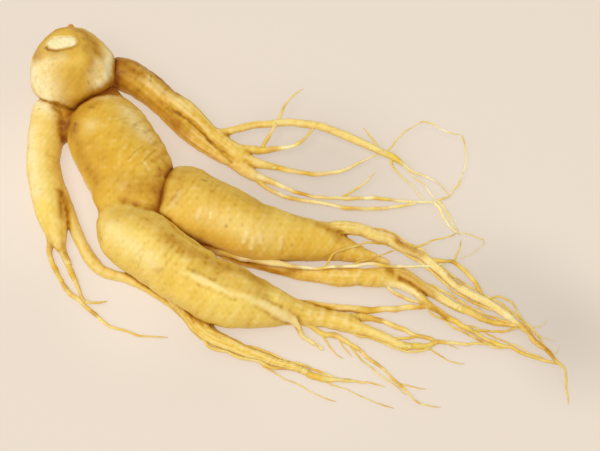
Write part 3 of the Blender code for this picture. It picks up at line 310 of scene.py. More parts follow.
BROWN, DARK, PALE = StainAndPaintedLight
MARKS: tuple[Mark, ...] = tuple(Mark(*row) for row in (
    # The crown knob's scar rim, ochre brim, patches and specks, and painted highlights on its lower left
    # side and its right facet
    (BROWN, 1.0, 0.62, ((-97, 63, 32.6), (-95.6, 61.4, 33.3), (-92, 60.4, 34.4), (-87, 60.8, 34.9)), -0.25),
    (BROWN, 1.1, 0.5, ((-87, 60.8, 34.9), (-84.6, 62, 34.8), (-84, 64.6, 34.6), (-85, 67.6, 34.2)), -0.2),
    (DARK, 0.7, 0.5, ((-96.9, 62.4, 32.8), (-94, 60.8, 34)), -0.1),
    (BROWN, 2.6, 0.45, ((-100.6, 62, 29), (-99.4, 66.4, 30), (-96, 71.4, 30.6), (-90, 73.8, 31.4))),
    (BROWN, 2.0, 0.45, ((-102.4, 61.6, 27.6), (-101.4, 59.6, 29.2), (-99.6, 59, 31))),
    (BROWN, 3.2, 0.72, ((-84.4, 71.4, 32), (-81, 68.6, 32.2), (-77.8, 65.4, 31.4), (-76.4, 62, 31))),
    (BROWN, 2.6, 0.45, ((-81, 61.6, 33.8), (-79, 58.4, 33), (-78.4, 53, 31))),
    (BROWN, 2.4, 0.6, ((-88.8, 75.6, 29), (-88.9, 78.4, 30.6))),
    (DARK, 0.6, 0.55, ((-96.1, 69.5, 31.6),)),
    (DARK, 0.5, 0.5, ((-98, 65.3, 32.1),)),
    (DARK, 0.4, 0.6, ((-93.4, 56.6, 33.7),)),
    (DARK, 0.6, 0.7, ((-82.9, 67.5, 34.1), (-82.1, 66.6, 34.1))),
    (DARK, 0.3, 0.4, ((-79.6, 49.6, 28), (-79, 48.6, 27.2)), -0.1),
    (PALE, 4.6, 1.0, ((-73.2, 62.5, 25.5), (-72.9, 56, 24.5), (-75, 50.5, 24))),
    (PALE, 2.4, 0.6, ((-76.6, 57.5, 30.4), (-78.4, 52.6, 29.4))),
    (PALE, 7.0, 1.0, ((-103.4, 57, 24), (-100.4, 50.5, 22), (-97, 47.5, 19))),
    (PALE, 5.0, 0.6, ((-98.6, 55, 29.6), (-94.6, 49.6, 27))),
    (PALE, 3.0, 0.5, ((-96.6, 55.6, 31.4), (-90.6, 57, 34))),
    (BROWN, 4.2, 0.28, ((-84.6, 51, 31), (-82, 46.6, 27))),
    (BROWN, 6.0, 0.16, ((-91, 52, 31), (-88, 46, 24))),
    (BROWN, 2.2, 0.3, ((-98.6, 60.6, 31), (-92, 58.4, 34), (-86, 58.6, 34.6))),
    # Painted shade in the folds round the neck, at the right arm's root and on the left shoulder, with a
    # few fine dark lines
    (BROWN, 1.4, 0.6, ((-94.4, 44, 19), (-91.7, 42.1, 18), (-88.9, 40.7, 16.6))),
    (BROWN, 3.2, 0.9, ((-86, 42, 15), (-81, 44.6, 19), (-75, 48.5, 19.5), (-70, 53.5, 17.6))),
    (BROWN, 3.2, 0.9, ((-72, 51, 18), (-69.4, 55.4, 17), (-68.8, 60, 17.6), (-68.8, 64.1, 18.2))),
    (BROWN, 3.0, 0.55, ((-87.4, 39.4, 17), (-81.2, 37.7, 22.7), (-76, 40, 23.4))),
    (BROWN, 3.2, 0.5, ((-83, 42, 19.6), (-77.5, 45.4, 20.6), (-72, 49.5, 20.4))),
    (BROWN, 3.6, 0.85, ((-88.4, 37.6, 14.5), (-86, 34, 18.4), (-84.2, 30.5, 21))),
    (BROWN, 2.4, 0.8, ((-90.4, 40, 14), (-90.6, 36, 13.4), (-90.2, 32.6, 12.4))),
    (DARK, 0.4, 0.6, ((-78.4, 38.4, 24.8), (-76.8, 38, 25.2)), -0.15),
    (DARK, 0.6, 0.6, ((-84, 32.2, 22.8), (-84.6, 33, 22)), -0.15),
    (BROWN, 2.8, 0.5, ((-68, 56, 13), (-66.5, 55.4, 14), (-62.5, 54, 14))),
    # The body's fine cross lines, wrinkles and patches, painted shade down its left side and in its fold
    # with the right leg, and painted highlights on its top and right side
    (DARK, 0.3, 0.38,
     ((-54.8, 24.3, 22.7), (-56.4, 20, 24.6), (-58.8, 16.9, 26.4), (-61.7, 13, 27.1)), -0.16),
    (DARK, 0.3, 0.3, ((-52.4, 19.2, 23.2), (-54.7, 14.7, 25.6), (-56.6, 11.4, 26.6)), -0.14),
    (DARK, 0.26, 0.12, ((-63, 34, 25), (-65.6, 32, 26.6), (-68, 30.6, 27.6)), -0.14),
    (BROWN, 1.3, 0.12, ((-56, 40.3, 14), (-57, 38.3, 16), (-58.8, 34.2, 20), (-61, 30.5, 23)), -0.26),
    (BROWN, 1.3, 0.14, ((-53, 35.2, 14), (-54.1, 33.2, 16), (-56.6, 28.5, 20), (-60.2, 23.5, 23.5)), -0.28),
    (BROWN, 1.3, 0.16, ((-50.4, 30, 14), (-51.2, 28.1, 16), (-53.6, 22.7, 20.5), (-57, 17.8, 24)), -0.3),
    (BROWN, 1.2, 0.22, ((-48, 25, 14), (-48.9, 23.1, 16), (-50.8, 18.2, 20), (-53.3, 13.6, 23)), -0.28),
    (BROWN, 4.0, 0.55, ((-84, 32, 20), (-81.6, 24, 20.4), (-78.6, 15, 20.6), (-74.6, 7, 21))),
    (PALE, 2.0, 0.6, ((-86.4, 29, 13), (-84.2, 22, 13.6), (-80.8, 14, 13.6), (-77.6, 6, 13))),
    (BROWN, 4.0, 0.25, ((-78, 22, 26), (-72, 14, 27.4))),
    (BROWN, 4.6, 0.3, ((-66, 5, 25.4), (-60, 4, 25), (-53, 5, 23))),
    (BROWN, 1.8, 0.65, ((-50.1, 10, 22.8), (-48.2, 9.3, 20.9), (-46.8, 10.5, 20.6))),
    (BROWN, 2.8, 0.6, ((-48.5, 13.4, 19.4), (-48.8, 7, 20), (-52, 1, 20.6))),
    (BROWN, 0.6, 0.3, ((-52.4, 13.6, 22.6), (-50.6, 11.4, 22.2), (-49.8, 8.6, 22)), -0.08),
    (BROWN, 2.4, 0.15, ((-52, 14, 22), (-50.4, 8, 21.6), (-52, 2.6, 21.4))),
    (BROWN, 0.5, 0.3, ((-50.6, 15.6, 20.4), (-48.8, 14.4, 19.4)), -0.1),
    (PALE, 0.5, 0.4, ((-56.4, 12.2, 24.6), (-54.2, 9.6, 24.2)), 0.12),
    (BROWN, 3.8, 0.35, ((-60.3, 0.7, 24.5), (-55, 1.4, 23.4), (-49.5, 1.5, 20))),
    (BROWN, 2.0, 1.0,
     ((-45.5, 18.1, 14), (-46, 13.4, 17.4), (-46.8, 7.9, 19.8), (-48.7, 0.4, 19.8), (-52.2, -4.3, 19))),
    (DARK, 0.7, 0.6, ((-45.5, 18.1, 14), (-46, 14.4, 17), (-46.6, 10, 19))),
    (PALE, 3.0, 0.4, ((-77.3, 29.4, 26.9),)),
    (PALE, 4.0, 0.45, ((-64.4, 37.6, 23.8), (-60, 32, 24), (-56.6, 25, 24))),
    (PALE, 1.6, 0.25, ((-64.6, 2.2, 24.6), (-62.8, 2.2, 24.8))),
    # The right arm's far edge by the crown knob, darkened as painted shade, its ochre underside, nick, pit
    # and lengthwise groove
    (BROWN, 3.0, 0.8,
     ((-69.5, 66, 18), (-66, 66.6, 18), (-60.5, 65.6, 15), (-53, 60, 13), (-46, 53.4, 11.6))),
    (BROWN, 2.4, 0.8, ((-71.6, 68, 15), (-70.6, 64.4, 18.8), (-70.4, 59, 17))),
    (BROWN, 3.4, 0.8, ((-69.6, 63.6, 18.8), (-64.6, 61.6, 19), (-61, 60, 18.4))),
    (BROWN, 2.6, 0.6, ((-62, 54.6, 13), (-55, 50, 12), (-49, 44.6, 10.4), (-41, 37.6, 9))),
    (PALE, 1.6, 0.35, ((-66.8, 63.7, 19.6), (-57.7, 57.8, 17.3), (-49, 52.6, 14.6), (-40, 46.4, 12.4))),
    (DARK, 0.45, 0.9, ((-56.6, 60.6, 15.6), (-56.2, 57.6, 17)), -0.25),
    (BROWN, 0.6, 0.5,
     ((-50, 49.6, 12.4), (-43.6, 45, 11), (-37.7, 39.6, 9.6), (-32.8, 34.6, 8.4), (-27, 29, 7.2))),
    (DARK, 0.4, 0.5, ((-41.6, 43.2, 10.4), (-37.7, 39.4, 9.4), (-32.8, 34.4, 8.4)), -0.2),
    (DARK, 0.4, 0.5, ((-32.8, 34.4, 8.4), (-27.8, 29.4, 7.4), (-22.5, 24.6, 6.4)), -0.3),
    (DARK, 0.8, 0.6, ((-45, 46, 11.4), (-44, 45.2, 11.2)), -0.3),
    (BROWN, 2.4, 0.6, ((-48, 43, 11.4), (-45, 40, 10.6))),
    # The left arm's left side, pale as a painted highlight, and the slit where its inner rootlet leaves,
    # with painted shade along it
    (PALE, 3.8, 0.65, ((-102.2, 34, 14), (-102.4, 28, 13), (-101.8, 18, 12), (-99.7, 8, 11.4))),
    (BROWN, 1.7, 0.6, ((-90.4, 8.4, 9.6), (-89.5, 2.7, 9.6), (-89.3, -1.8, 8.8)), -0.15),
    (DARK, 0.5, 0.35, ((-89.6, 3.6, 9.8), (-89.3, -0.4, 9.2)), -0.1),
    (BROWN, 2.2, 0.35, ((-88.6, 8, 7.2), (-86.8, 3.4, 6.4))),
    (BROWN, 2.0, 0.4, ((-93.4, -10, 4.4), (-93, -15, 3))),
    (BROWN, 1.6, 0.4, ((-88.8, -12, 4), (-87, -17, 3.4))),
    # The right leg's darker top, raised dashes that are pale as painted highlights on their ridges, specks
    # and end patch
    (BROWN, 6.0, 0.26, ((-41, 8, 21), (-33, 3.6, 24), (-22, -1.4, 24), (-10, -5.6, 21))),
    (PALE, 1.3, 0.4, ((-41.5, 0.5, 22.8), (-43.6, -3.4, 19.6)), 0.06),
    (PALE, 0.8, 0.3, ((-33.6, -7.4, 23.3), (-34.6, -9.8, 21.2)), 0.1),
    (PALE, 5.0, 0.2, ((-31, -9, 22.4), (-19, -14, 22), (-8, -16, 19))),
    (BROWN, 3.6, 0.3, ((-40, 8, 21.4), (-42, 3, 22), (-43.6, -1, 20.4))),
    (PALE, 0.5, 0.5, ((-29.5, -8.9, 23.6), (-29.7, -10.8, 22.7)), 0.14),
    (PALE, 1.0, 0.36, ((-15.3, -16.5, 21.2), (-16.5, -18.6, 18.7)), 0.16),
    (PALE, 1.0, 0.34, ((-13.4, -18, 19.8), (-13.9, -20.2, 16.7)), 0.15),
    (PALE, 0.95, 0.32, ((-10.2, -16.8, 20.6), (-10.2, -19, 18.5)), 0.14),
    (PALE, 0.8, 0.26, ((-2.1, -17, 18.1), (-2.7, -19.9, 15.1)), 0.1),
    (DARK, 0.65, 0.95, ((-32.6, 5.2, 23.4), (-31.8, 5.1, 23.4))),
    (DARK, 0.6, 0.5, ((-23.2, -13.8, 21.7),)),
    (DARK, 0.8, 0.5, ((2, -18.8, 15.6),)),
    (BROWN, 2.0, 0.6, ((12.6, -9.6, 14.6), (16.7, -11.7, 13.4), (20.1, -13.6, 11.6))),
    (DARK, 0.5, 0.9, ((7.4, -25.6, 9.4), (8.2, -25.7, 9.4))),
    # Painted shade in the fork between the legs and on the top of the middle root where it leaves
    (BROWN, 3.4, 0.9, ((-43, -8, 11), (-38, -11.6, 10.6), (-32.9, -14.4, 9), (-28, -16.4, 8))),
    (BROWN, 1.2, 0.5, ((-34, -14.6, 9.5), (-28, -17, 10))),
    (BROWN, 2.2, 0.85, ((-20, -17, 9), (-12.1, -22.6, 7.4), (-1.2, -25.8, 6.2), (4, -24, 7))),
    # The front leg's shoulder, pale as a painted highlight, its upper lobe and the creases along its edges,
    # darkened as painted shade, and specks
    (BROWN, 3.8, 0.55, ((-44, -22, 24.6), (-33, -28.8, 23.6), (-22, -33.4, 22), (-10, -36.6, 17))),
    (BROWN, 2.4, 0.35, ((-76, -2, 15), (-73.4, -9, 15.6), (-69, -16, 16))),
    (PALE, 4.0, 0.4, ((-67, -15, 22), (-60.4, -22.6, 24), (-50.2, -30.6, 22.6))),
    (BROWN, 4.4, 0.34, ((-65.6, -9.4, 23.6), (-57, -11.6, 25.4), (-47, -17.6, 25))),
    (BROWN, 1.4, 0.55, ((-64.5, -2.4, 22.6), (-57.7, -3.7, 20.6), (-52.2, -4.1, 17.3))),
    (BROWN, 1.4, 0.45, ((-52.2, -4.4, 17.3), (-42.8, -15, 21.6), (-34.6, -21.9, 20.6))),
    (BROWN, 1.6, 0.3, ((-48.3, -33.1, 21.2),)),
    (DARK, 0.8, 0.5, ((-34.8, -35.1, 24.2), (-33.9, -36.2, 24.2))),
    (DARK, 0.7, 0.6, ((-7.4, -41.5, 17.5),)),
    (DARK, 0.7, 0.5, ((6.1, -43.4, 9.5),)),
    (BROWN, 1.2, 0.6, ((-38.8, -44.4, 9), (-35.6, -47.4, 7.4)), -0.2),
    (BROWN, 2.0, 0.22, ((-34, -34, 24), (-24, -38.4, 23.2), (-16, -40.8, 21), (-8, -42.2, 17))),
    # Knots and patches on the roots of the bundle, and the pale loop of the right arm's rootlets
    (PALE, 2.4, 1.0, ((50, 8.5, 2.8), (57, 8.8, 2.6), (60.5, 6.5, 2.2), (62, 3, 1.8), (66.5, -5, 3))),
    (PALE, 1.8, 0.8, ((46.5, 24, 3.8), (50, 18, 3.2), (54, 12, 2.8))),
    (BROWN, 1.7, 0.6, ((44, -13.4, 8.6), (48, -15.6, 7.8), (52.4, -18, 6.8))),
    (BROWN, 1.0, 0.7, ((90.9, -47.6, 3.4), (95.6, -53.4, 3), (101.5, -60, 2.4))),
    (BROWN, 1.2, 0.5, ((63, -26.6, 5.6), (67, -30.6, 5.2))),
    (BROWN, 1.5, 0.9, ((39.3, -25, 6.2), (40.6, -25.4, 6))),
    (BROWN, 1.3, 0.8, ((56, -39.6, 3.2), (61, -43.4, 2.6))),
    (BROWN, 1.5, 0.6, ((42.6, -12.6, 8.6), (45, -14, 7.6))),
    (BROWN, 2.0, 0.5, ((44.5, -25.2, 6.1), (50.7, -29.4, 5.4), (56.6, -34.2, 4.1))),
    (PALE, 1.9, 0.7, ((39.9, -30.5, 4), (49.8, -36, 3.2))),
    (PALE, 1.8, 0.7, ((83.7, -42.2, 3.8), (87.4, -45.6, 3.3))),
))

# How far out a mark is worked out, in half widths, how closely its line is read, and how far it may
# be moved onto a skin
MARK_REACH = 2.6
MARK_STEP_LEAST = 0.3
MARK_STEP_SHARE = 0.4
MARK_PULL = 3.0

# A length that counts as none, the way up, how many readings a curve has between two points of its
# route, the fewest rows that it is cut into, and how many waves there are of each wavelength
TINY = 1e-9
UPWARD = (0.0, 0.0, 1.0)
CURVE_READINGS = 24
LEAST_ROWS = 3
WAVES_EACH = 3


def unit(rows: Array) -> Array:
    """Scales each row to length one."""
    return rows / np.maximum(np.linalg.norm(rows, axis=-1, keepdims=True), TINY)


def held(values: Array) -> Array:
    """Holds values between 0 and 1."""
    return np.clip(values, 0, 1)


def bell(away: Array) -> Array:
    """Gives a bell: e to the minus square of the distance away."""
    return np.exp(-(away**2))


def run_along(points: Array) -> Array:
    """Gives the length of the way from the first row to each row."""
    return np.concatenate(([0.0], np.cumsum(np.linalg.norm(np.diff(points, axis=0), axis=1))))


def turns(sides: int) -> Array:
    """Gives equal turns round a section, in radians."""
    return np.arange(sides) / sides * math.tau


def squares_between(points: Array, others: Array) -> Array:
    """Gives a table of the squared distance from each point to each of the others."""
    square = (points**2).sum(1)[:, None] + (others**2).sum(1)[None, :] - 2 * points @ others.T
    return np.maximum(square, 0)


def near_rows(points: Array, rows: Array, grow: float) -> Array:
    """Gives the indices of the points inside the rows' box, grown on every side."""
    inside = (points > rows.min(axis=0) - grow) & (points < rows.max(axis=0) + grow)
    return np.flatnonzero(inside.all(axis=1))


def frames(centre: Array) -> tuple[Array, Array, Array]:
    """Gives the tangent, the level side square to it and up, square to both, at each row."""
    tangent = unit(np.gradient(centre, axis=0))
    side = unit(np.cross(tangent, UPWARD))
    return tangent, side, np.cross(side, tangent)


def smooth_route(points: Array, step: float) -> Array:
    """Reads a Catmull-Rom curve through the points at equal steps of its length.

    Args:
        points: Rows that start with x, y, z and may go on with a half width.
        step: The wanted distance between rows.

    Returns:
        Evenly spaced rows of the same columns, with both ends kept.
    """
    ends = (2 * points[:1] - points[1:2], points, 2 * points[-1:] - points[-2:-1])
    knots = np.concatenate(ends)
    u = np.linspace(0, 1, CURVE_READINGS, endpoint=False)[:, None]
    parts = []
    for a, b, c, d in zip(knots, knots[1:], knots[2:], knots[3:]):
        curve = 2 * b + (c - a) * u + (2 * a - 5 * b + 4 * c - d) * u**2
        parts.append(0.5 * (curve + (3 * b - a - 3 * c + d) * u**3))
    fine = np.concatenate(parts + [points[-1:]])
    run = run_along(fine[:, :3])
    at = np.linspace(0, run[-1], max(LEAST_ROWS, round(run[-1] / step) + 1))
    return np.stack([np.interp(at, run, column) for column in fine.T], axis=1)


def waves(points: Array, lengths: tuple[float, ...], seed: int) -> Array:
    """Gives a smooth random field: a sum of plane waves in seeded directions, about -1 to 1.

    Args:
        points: Rows of coordinates, in any number of dimensions.
        lengths: The wavelengths, of which each has three waves.
        seed: The seed of the directions and phases.

    Returns:
        One value for each row.
    """
    draw = np.random.default_rng(seed)
    total = np.zeros(len(points))
    for length in np.repeat(lengths, WAVES_EACH):
        direction = unit(draw.normal(size=points.shape[1]))
        total += np.sin(math.tau * (points @ direction) / length + draw.uniform(0, math.tau))
    return total / math.sqrt(WAVES_EACH * len(lengths))


@dataclass
class Spine:
    """A route read closely, with the frame of its cross section at each reading."""

    centre: Array
    half: Array
    run: Array
    tangent: Array
    side: Array
    up: Array

    @classmethod
    def along(cls, route: Route, step: float) -> "Spine":
        """Reads a route at equal steps of its length."""
        rows = smooth_route(np.array(route, float), step)
        centre = rows[:, :3]
        return cls(centre, rows[:, 3], run_along(centre), *frames(centre))


@dataclass(frozen=True)
class Blend:
    """How softly a form runs into those before it, and where it runs in more softly still."""

    reach: float = 1.3
    soft_at: Optional[Point] = None
    soft_reach: float = 7.0
    soft_width: float = 9.0

    def reach_at(self, points: Array) -> Array:
        """Gives the reach at each point: the soft reach fades with a bell of the distance."""
        if self.soft_at is None:
            return np.full(len(points), self.reach)
        away = ((points - np.array(self.soft_at)) ** 2).sum(axis=1)
        return self.reach + (self.soft_reach - self.reach) * np.exp(-away / self.soft_width**2)


class Skin(NamedTuple):
    """What is known at points near a form: distance, slope and the values that finish the skin."""

    distance: Array
    slope: Array
    values: Array


VALUE_NAMES = ("tan", "pale", "ring", "along", "around", "brown")

# A distance beyond every form, and the margin round a form within which it is measured
FAR = 60.0
CULL_MARGIN = 7.0

# The fold beside a neighbour: its dark line of painted shade, its depth and width, the soft brown of
# painted shade round it, and how alike two forms' slopes are where they meet without a fold
FOLD_SHADE = 0.6
FOLD_FALL = 1.3
FOLD_DEPTH = 0.32
FOLD_WIDTH = 0.85
HALO_MOST = 0.5
HALO_WIDTH = 1.7
FOLD_FACING = 0.75

# How far plain skin stands over the mean of its neighbours, and how far a full groove lies under it
HOLLOW_REST = 0.006
HOLLOW_FULL = 0.035

# The reading step of a form, how many points are measured at a time, and the form's drawn phases
FORM_STEP = 0.7
CHUNK = 20000
PHASES = 12


@dataclass
class Form:
    """One thick form: a swept oval with swellings, ring grooves and lengthwise fibres.

    Attributes:
        route: The rows of its middle line.
        height: The section's height as a share of its width.
        blend: How it runs into the forms before it.
        rings: How many ring grooves it has.
        ring_depth: The depth of a middling groove.
        lumps: The size of the swellings, as a share of the half width.
        fibres: The height of the lengthwise ridges.
        tan: How tan its skin is.
        pale: How pale its skin grows along it.
        seed: The seed of its grooves and phases.
        ripple: The height of the short cross ripples.
        ripple_side: The turn of the side that they are on.
        fade: The length along which the pale tint comes in.
        crease: How much painted shade darkens its folds with the forms before it.
    """

    route: Route
    height: float = 1.0
    blend: Blend = Blend()
    rings: int = 0
    ring_depth: float = 0.05
    lumps: float = 0.03
    fibres: float = 0.0
    tan: float = 0.2
    pale: float = 0.0
    seed: int = 1
    ripple: float = 0.0
    ripple_side: float = 2.5
    fade: float = 0.01
    crease: float = 1.0
    spine: Spine = field(init=False)
    ring_table: Array = field(init=False)
    phases: Array = field(init=False)

    # The range of what is drawn for each ring: place, depth, half width, middle and cover
    RING_DRAWS = ((0.1, 0.9), (0.4, 1.3), (0.45, 1.0), (0, math.tau), (-0.6, 0.9))
    # Each swelling's wavelength, turns round the form and share
    SWELLS = ((33, 1, 0.5), (19, 2, 0.5), (24, -1, 0.4), (13, 3, 0.3), (9, -2, 0.25))
    # Each set of ridges: how many, twist, share, the part that stays, and the length of the rest's waves
    FIBRES = ((5, 21, 1.0, 0.6, 7), (8, -17, 0.8, 0.5, 5), (13, 12, 0.6, 1.0, 1))
    RIPPLE_LENGTH = 2.7
    # How far a ring groove winds, the height and place of the low rim beside it, how softly it ends,
    # and the depth from which its mask is full
    RING_WINDS = (0.9, 0.35)
    RIM_SHARE = 0.45
    RIM_AWAY = 1.9
    RING_FADE = 0.5
    RING_FULL = 0.15
    # Painted shade: brown that is full on a form's underside and up to the middle of its sides, and fades
    # towards its top
    UNDER_SHADE = 0.1
    UNDER_SHADE_POWER = 1.5

    def __post_init__(self) -> None:
        """Reads the spine and draws the rings and phases from the seed."""
        self.spine = Spine.along(self.route, FORM_STEP)
        draw = np.random.default_rng(self.seed)
        place, depth, width, middle, cover = [draw.uniform(*ends, self.rings) for ends in self.RING_DRAWS]
        place = (np.arange(self.rings) + place) / max(self.rings, 1) * self.spine.run[-1]
        self.ring_table = np.stack([place, self.ring_depth * depth, width, middle, cover], axis=1)
        # The first five are the swellings', the next six the ridges', and the last two the ripples'
        self.phases = draw.uniform(0, math.tau, PHASES)

    def swelling(self, along: Array, around: Array, half: Array) -> Array:
        """Gives low lumps: the sum of share × sin(turn along the form + turns × around + phase)."""
        return self.lumps * half * sum(
            share * np.sin(math.tau * along / length + times * around + phase)
            for (length, times, share), phase in zip(self.SWELLS, self.phases)
        )

    def fibre(self, along: Array, around: Array) -> Array:
        """Gives lengthwise ridges: waves round the form that twist and come and go along it."""
        return self.fibres * sum(
            share * np.sin(ridges * around + along / twist + turn)
            * (stays + (1 - stays) * np.sin(along / swing + beat))
            for (ridges, twist, share, stays, swing), (turn, beat)
            in zip(self.FIBRES, self.phases[5:11].reshape(-1, 2))
        )

    def ripples(self, along: Array, around: Array) -> Array:
        """Gives short cross ripples on one side: a wave along the form that fades off that side.

        Args:
            along: The way along the form.
            around: The turn round it.

        Returns:
            The height of the skin over the plain section.
        """
        bend = 1.4 * np.sin(along / 4.5 + self.phases[10])
        wave = np.sin(math.tau * along / self.RIPPLE_LENGTH + bend + 0.8 * around)
        patch = held(0.35 + np.sin(along / 5.5 + self.phases[11]))
        return self.ripple * wave * patch * held(np.cos(around - self.ripple_side)) ** 3

    def ring_lines(self, along: Array, around: Array) -> tuple[Array, Array]:
        """Gives the ring grooves: bells across, with a low rim on both sides, open at one side.

        Args:
            along: The way along the form.
            around: The turn round it.

        Returns:
            The relief of the grooves, and a mask that is one in the deep ones.
        """
        relief = np.zeros(len(along))
        mask = np.zeros(len(along))
        once, thrice = self.RING_WINDS
        for place, depth, width, middle, cover in self.ring_table:
            winding = once * np.sin(around + middle) + thrice * np.sin(3 * around + 2 * middle)
            across = (along - place - winding) / width
            seen = held((np.cos(around - middle) + cover) / self.RING_FADE)
            groove = bell(across) * seen
            relief += depth * (self.RIM_SHARE * bell(np.abs(across) - self.RIM_AWAY) * seen - groove)
            mask = np.maximum(mask, groove * min(1.0, depth / self.RING_FULL))
        return relief, mask

    def near(self, points: Array) -> Array:
        """Gives the indices of the points inside the form's box and a margin round it."""
        return near_rows(points, self.spine.centre, self.spine.half.max() + CULL_MARGIN)

    def nearest(self, points: Array) -> Array:
        """Finds each point's nearest spine reading, counted from the edge of its circle.

        Args:
            points: Rows of (x, y, z).

        Returns:
            The number of the reading for each point.
        """
        found = np.empty(len(points), int)
        for start in range(0, len(points), CHUNK):
            part = slice(start, start + CHUNK)
            away = np.sqrt(squares_between(points[part], self.spine.centre))
            found[part] = (away - self.spine.half).argmin(1)
        return found

    def read(self, points: Array) -> Skin:
        """Measures points from the form.

        The distance is the length of the offset from the nearest spine reading, with its upward
        part divided by the form's height, less the half width and the relief there.

        Args:
            points: Rows of (x, y, z).

        Returns:
            The skin's distance, slope and values at each point.
        """
        spine = self.spine
        nearest = self.nearest(points)
        offset = points - spine.centre[nearest]
        side, up, tangent = spine.side[nearest], spine.up[nearest], spine.tangent[nearest]
        a = (offset * side).sum(1)
        b = (offset * up).sum(1) / self.height
        t = (offset * tangent).sum(1)
        length = np.maximum(np.sqrt(a**2 + b**2 + t**2), TINY)
        half = spine.half[nearest]
        along = spine.run[nearest] + t
        around = np.arctan2(b, a)
        ring_relief, ring = self.ring_lines(along, around)
        relief = self.swelling(along, around, half) + self.fibre(along, around) + ring_relief
        relief += self.ripples(along, around)
        grown = held(along / self.fade)
        slope = a[:, None] * side + (b / self.height)[:, None] * up + t[:, None] * tangent
        slope = slope / length[:, None]
        values = np.stack([
            np.full(len(points), self.tan), self.pale * grown, ring, along, around * half,
            self.UNDER_SHADE * (1 - held(b / length)) ** self.UNDER_SHADE_POWER,
        ], axis=1)
        return Skin(length - half - relief, slope, values)


class Join(Enum):
    """Which of two distances a soft join keeps."""

    LARGER = 1
    SMALLER = -1


def soft_join(first: Array, second: Array, reach: Array | float, join: Join) -> tuple[Array, Array]:
    """Joins two distances, rounded where they are within reach of each other.

    The second's share is 0.5 + 0.5 × the difference / reach, held between 0 and 1. The distance
    is the mix by that share, with reach × share × (1 - share) added for the larger of the two
    and taken off for the smaller.

    Args:
        first: The first distance at each point.
        second: The second one.
        reach: How near they are to each other where the rounding starts.
        join: Which of them is kept.

    Returns:
        The joined distance and the second's share.
    """
    side = join.value
    share = held(0.5 + 0.5 * side * (second - first) / reach)
    return first * (1 - share) + second * share + side * reach * share * (1 - share), share


@dataclass
class CrownForm:
    """The crown knob: a ball with soft flat facets and the level scar of the stem."""

    centre: Point = (-88.2, 62.0, 17.8)
    radius: float = 18.1
    top_share: float = 0.915
    top_reach: float = 1.1
    facet_reach: float = 1.6
    scar_direction: Point = (-0.18, 0.15, 0.97)
    scar_half: tuple[float, float] = (6.2, 3.5)
    scar_corner: float = 1.9
    scar_depth: float = 0.35
    scar_fade: float = 0.8
    swell: float = 0.22
    wobble: float = 0.35
    tan: float = 0.8
    grain_radius: float = 10.0
    blend: Blend = Blend(1.0)
    crease: float = 1.0

    # Each facet's direction and its distance from the middle, as a share of the radius
    FACETS = (
        (0.95, -0.18, 0.26, 0.96), (0.55, -0.62, 0.56, 0.955), (0.08, -0.74, 0.67, 0.955),
        (-0.52, -0.72, 0.46, 0.95), (-0.93, -0.22, 0.30, 0.95), (0.62, 0.20, 0.76, 0.94),
        (-0.30, -0.42, 0.86, 0.955), (0.2, 0.9, 0.3, 0.95), (-0.81, 0.50, 0.29, 0.905),
        (0.68, 0.63, 0.36, 0.935), (0.45, -0.88, 0.05, 0.96), (-0.2, -0.97, 0.0, 0.96),
    )

    def near(self, points: Array) -> Array:
        """Gives the indices of the points inside the knob's box and a margin round it."""
        return near_rows(points, np.array([self.centre]), self.radius + CULL_MARGIN)

    def read(self, points: Array) -> Skin:
        """Measures points from the knob: the soft maximum of a ball and the facets' planes.

        Args:
            points: Rows of (x, y, z).

        Returns:
            The skin's distance, slope and values at each point.
        """
        offset = points - np.array(self.centre)
        length = np.linalg.norm(offset, axis=1)
        slope = offset / np.maximum(length, TINY)[:, None]
        swell = self.swell * waves(slope * self.radius, (14.0, 9.0), 41)
        distance = length - self.radius - swell
        planes = [(*facet, self.facet_reach) for facet in self.FACETS]
        planes.append((*self.scar_direction, self.top_share, self.top_reach))
        for *direction, share, reach in planes:
            normal = unit(np.array(direction))
            plane = offset @ normal - share * self.radius
            distance, mix = soft_join(distance, plane, reach, Join.LARGER)
            slope = slope * (1 - mix)[:, None] + normal * mix[:, None]
        scar = self.scar_mask(points)
        none = np.zeros(len(points))
        around = np.arctan2(offset[:, 1], offset[:, 0]) * self.grain_radius
        values = np.stack([none + self.tan, scar, none, length, around, none], axis=1)
        return Skin(distance + self.scar_depth * scar, slope, values)

    def scar_mask(self, points: Array) -> Array:
        """Gives 1 on the scar, an oblong with round corners in the scar's plane, and 0 outside.

        Args:
            points: Rows of (x, y, z).

        Returns:
            The mask at each point.
        """
        axis = unit(np.array(self.scar_direction))
        across = unit(np.cross((0.0, 1.0, 0.0), axis))
        upward = np.cross(axis, across)
        offset = points - np.array(self.centre)
        flat = np.stack([np.abs(offset @ across), np.abs(offset @ upward)], axis=1)
        wobble = self.wobble * waves(points, (6.0, 3.5), 5)
        outside = np.maximum(flat - (np.array(self.scar_half) - self.scar_corner), 0)
        edge = np.linalg.norm(outside, axis=1) - self.scar_corner + wobble
        return held(0.5 - edge / self.scar_fade) * (offset @ axis > 0)


AnyForm = Union[Form, CrownForm]


class SkinMark(NamedTuple):
    """A mark with the closely spaced points of its line, moved onto the skin that it is on."""

    mark: Mark
    line: Array


def mark_lines(marks: Iterable[Mark]) -> list[SkinMark]:
    """Reads each mark's line closely, with the points still where the mark states them.

    Args:
        marks: The marks, each with the points of its line.

    Returns:
        Each mark with its closely spaced points.
    """
    lines = []
    for mark in marks:
        points = np.array(mark.points, float)
        if len(points) > 1:
            points = smooth_route(points, max(MARK_STEP_LEAST, MARK_STEP_SHARE * mark.width))
        lines.append(SkinMark(mark, points))
    return lines


